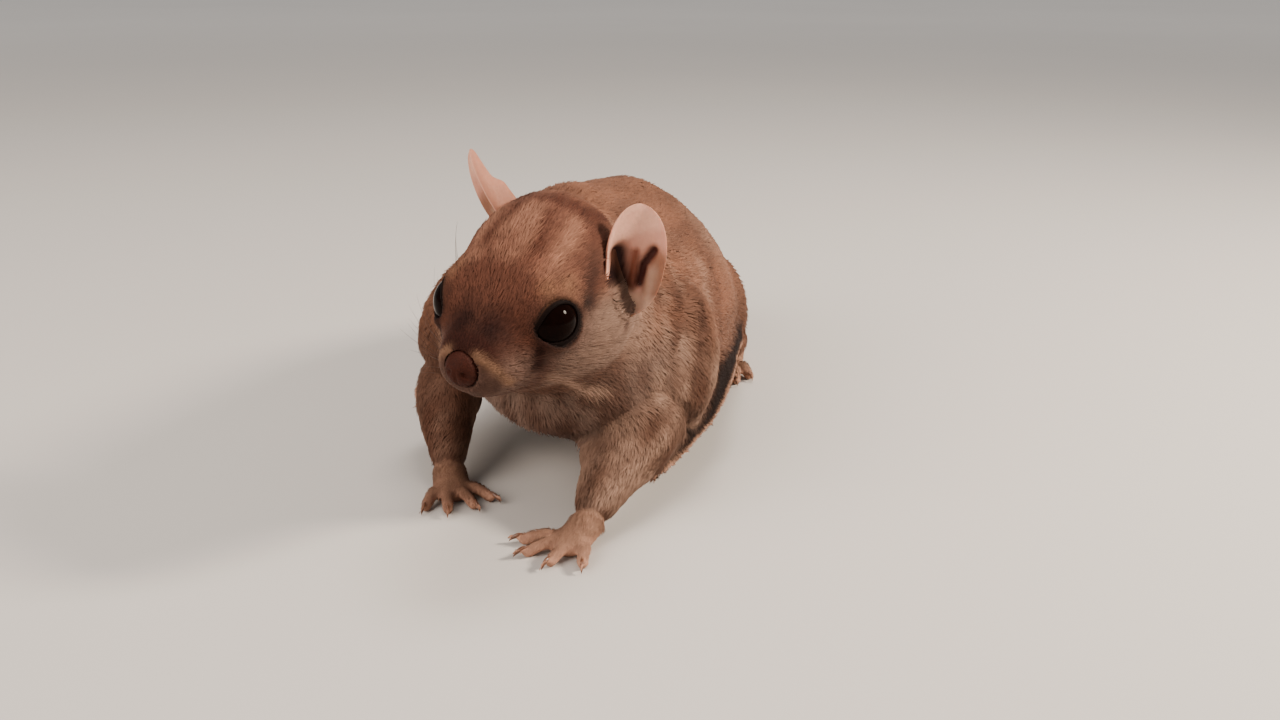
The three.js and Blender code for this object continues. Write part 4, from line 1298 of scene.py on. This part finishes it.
def tail_marks(share, turn):
    edge = 0.7 * np.abs(np.cos(turn)) ** 3
    under = ramp(np.sin(turn), -0.1, -0.6)
    return layered(len(share), "tail_top", [("tail_edge", edge), ("tail_under", under)])


tail_bm = bmesh.new()
bmesh.ops.create_uvsphere(tail_bm, u_segments=32, v_segments=80, radius=1.0)
ball = np.array([v.co for v in tail_bm.verts])
core_share = (1 - ball[:, 2]) / 2
core_turn = np.arctan2(ball[:, 1], ball[:, 0])
core_places = tail_surface(core_share, core_turn)[0]
core_places[:, 2] = np.maximum(core_places[:, 2], FLOOR_CLEAR[1])
for v, place in zip(tail_bm.verts, drawn(core_places)):
    v.co = Vector(place)
bmesh.ops.recalc_face_normals(tail_bm, faces=tail_bm.faces)
tail_core = finished(tail_bm, "tail_core", skin.data.materials[0])
painted(tail_core.data, tail_marks(core_share, core_turn) * UNDERCOAT)
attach(tail_core, "root")
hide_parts("tail")

at_share = strewn.uniform(0.03, 0.995, TAIL_TUFTS) ** 0.95
at_share[:int(TAIL_TUFTS * TIP_TUFTS)] = strewn.uniform(0.94, 1.0, int(TAIL_TUFTS * TIP_TUFTS))
at_turn = strewn.uniform(-math.pi, math.pi, TAIL_TUFTS)
at_turn -= 0.25 * np.sin(2 * at_turn)
tail_place, tail_out, tail_ahead, tail_left = tail_surface(at_share, at_turn)
sidewards = np.abs(np.cos(at_turn)) ** 3 * ramp(at_share, 0.02, 0.32)
at_tip = ramp(at_share, 0.88, 1.0)
longer = np.maximum(sidewards, 0.9 * at_tip) * np.minimum(1, 1.55 - at_share * 0.75)
tail_long = TAIL_HAIR[0] + (TAIL_HAIR[1] - TAIL_HAIR[0]) * longer
tail_long *= strewn.uniform(0.75, 1.12, TAIL_TUFTS)
lean = np.radians(TAIL_LEAN[0] + (TAIL_LEAN[1] - TAIL_LEAN[0]) * at_share ** 1.8)
lean += strewn.normal(0, 0.09, TAIL_TUFTS)
outward = tail_left * np.sign(np.cos(at_turn))[:, None]
side_way = outward * np.cos(lean)[:, None] + tail_ahead * np.sin(lean)[:, None]
sideways = tail_left * np.cos(at_turn)[:, None]
apart = (1 - 1.2 * at_tip)[:, None]
flat_way = unit(tail_ahead + apart * (0.35 * sideways + 0.22 * tail_out) - 0.1 * (1 - apart) * tail_out)
tail_way = unit(side_way * sidewards[:, None] + flat_way * (1 - sidewards)[:, None])
reach = tail_long[:, None] * LOCK_STATIONS
swept = 0.2 * tail_long[:, None] * LOCK_STATIONS ** 2 * sidewards[:, None]
tail_spines = (tail_place - tail_out * 0.3)[:, None] + tail_way[:, None] * reach[..., None]
tail_spines += tail_ahead[:, None] * swept[..., None]
settled = FLOOR_CLEAR[2] + strewn.uniform(0, 1.0, TAIL_TUFTS)
drop = np.maximum(tail_spines[:, -1, 2] - settled, 0) * np.maximum(sidewards, at_tip)
tail_spines[:, :, 2] -= drop[:, None] * LOCK_STATIONS ** 1.5
tail_spines[:, :, 2] = np.maximum(tail_spines[:, :, 2], FLOOR_CLEAR[0])
tail_wide = TAIL_WIDTH * strewn.uniform(0.7, 1.3, (TAIL_TUFTS, 1)) * np.array((1.0, 0.85))
tail_paint = tail_marks(at_share, at_turn) * strewn.normal(1, 0.14, (TAIL_TUFTS, 1))
tail_colours = np.clip(tail_paint[:, None] * TAIL_SHADES[:, None], 0, 1)
tail_uv = np.stack((0.02 + 0.96 * at_share, 0.5 + 0.48 * at_turn / math.pi), axis=1)
for number, which in enumerate(np.array_split(np.argsort(at_share), 2)):
    ups = unit(tail_out[which] + (0, 0, 0.6))
    hair = strands(
        f"coat_tail_{number + 1}", drawn(tail_spines[which]), tail_wide[which] * MM,
        tail_wide[which] * 0.3 * MM, ups, tail_colours[which], tail_uv[which])
    hair.data.materials.append(coat_finish)
    softened(hair, ups, 0.5)
    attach(hair, "root")


# Whiskers. Long, stiff, dark hairs in rows on the pads beside the nose, a few over each eye, swept
# back and drooping a little to their fine tips.
WHISKER_ROWS = [(4.2, 3.0, -0.2), (4.8, 4.6, -1.4), (5.2, 6.2, -2.6), (4.6, 5.0, -3.6)]
WHISKERS_A_ROW = 5
BROW_WHISKERS = 3
BROW_LONG = 11.0  # mm
WHISKER_STATIONS = 9
WHISKER_THICK = (0.08, 0.06)  # mm at the root, beside the nose and over the eyes
WHISKER_COLOUR = colour(60, 42, 34)

whisker_shade = Shade("whisker_hair")
whisker_paint = whisker_shade.mix(whisker_shade.noise(scale=700.0), WHISKER_COLOUR, WHISKER_COLOUR * 2.2)
whisker_finish = whisker_shade.surface(whisker_paint, roughness=0.5, Specular_IOR_Level=0.15)
whisker_at = np.linspace(0, 1, WHISKER_STATIONS)[:, None]
whisker_spines, whisker_thick = [], []


def whisker(start, way, long, bend, thick):
    """One hair from its place in the skin. It bends by so much of its length by its tip."""
    spine = start + way * long * whisker_at + np.array(bend) * long * whisker_at ** 2
    whisker_spines.append(from_head(spine))
    whisker_thick.append(thick * (1 - 0.85 * whisker_at[1:-1, 0]))


for hand in (-1, 1):
    for row, (x, y, z) in enumerate(WHISKER_ROWS):
        for number in range(WHISKERS_A_ROW):
            start = (hand * (x + 0.35 * number), y + 1.3 * number, z + strewn.normal(0, 0.25))
            rising = 0.3 - 0.2 * row + strewn.normal(0, 0.05)
            way = unit((hand * (1.0 - 0.06 * number), 0.3 + 0.14 * number, rising))
            long = (16 + 3.2 * number) * strewn.uniform(0.85, 1.1)
            whisker(start - way * 1.2, way, long, (0.0, 0.3, -0.22), WHISKER_THICK[0])
    for number in range(BROW_WHISKERS):
        start = (hand * (6.4 + 0.8 * number), 11.5 + 1.5 * number, 9.6)
        way = unit((hand * 0.55, 0.5, 0.8 - 0.15 * number))
        whisker(start - way * 1.5, way, BROW_LONG, (0.0, 0.35, -0.2), WHISKER_THICK[1])
whisker_thick = np.array(whisker_thick) * MM
whisker_count = len(whisker_spines)
whisker_size = 3 * (WHISKER_STATIONS - 2) + 2
whiskers = strands(
    "whiskers", np.array(whisker_spines), whisker_thick, whisker_thick * 0.9,
    np.tile((0, 0, 1.0), (whisker_count, 1)), np.tile(WHISKER_COLOUR, (whisker_count, whisker_size, 1)),
    np.stack((np.linspace(0.1, 0.9, whisker_count), np.full(whisker_count, 0.5)), axis=1))
whiskers.data.materials.append(whisker_finish)
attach(whiskers, "root")
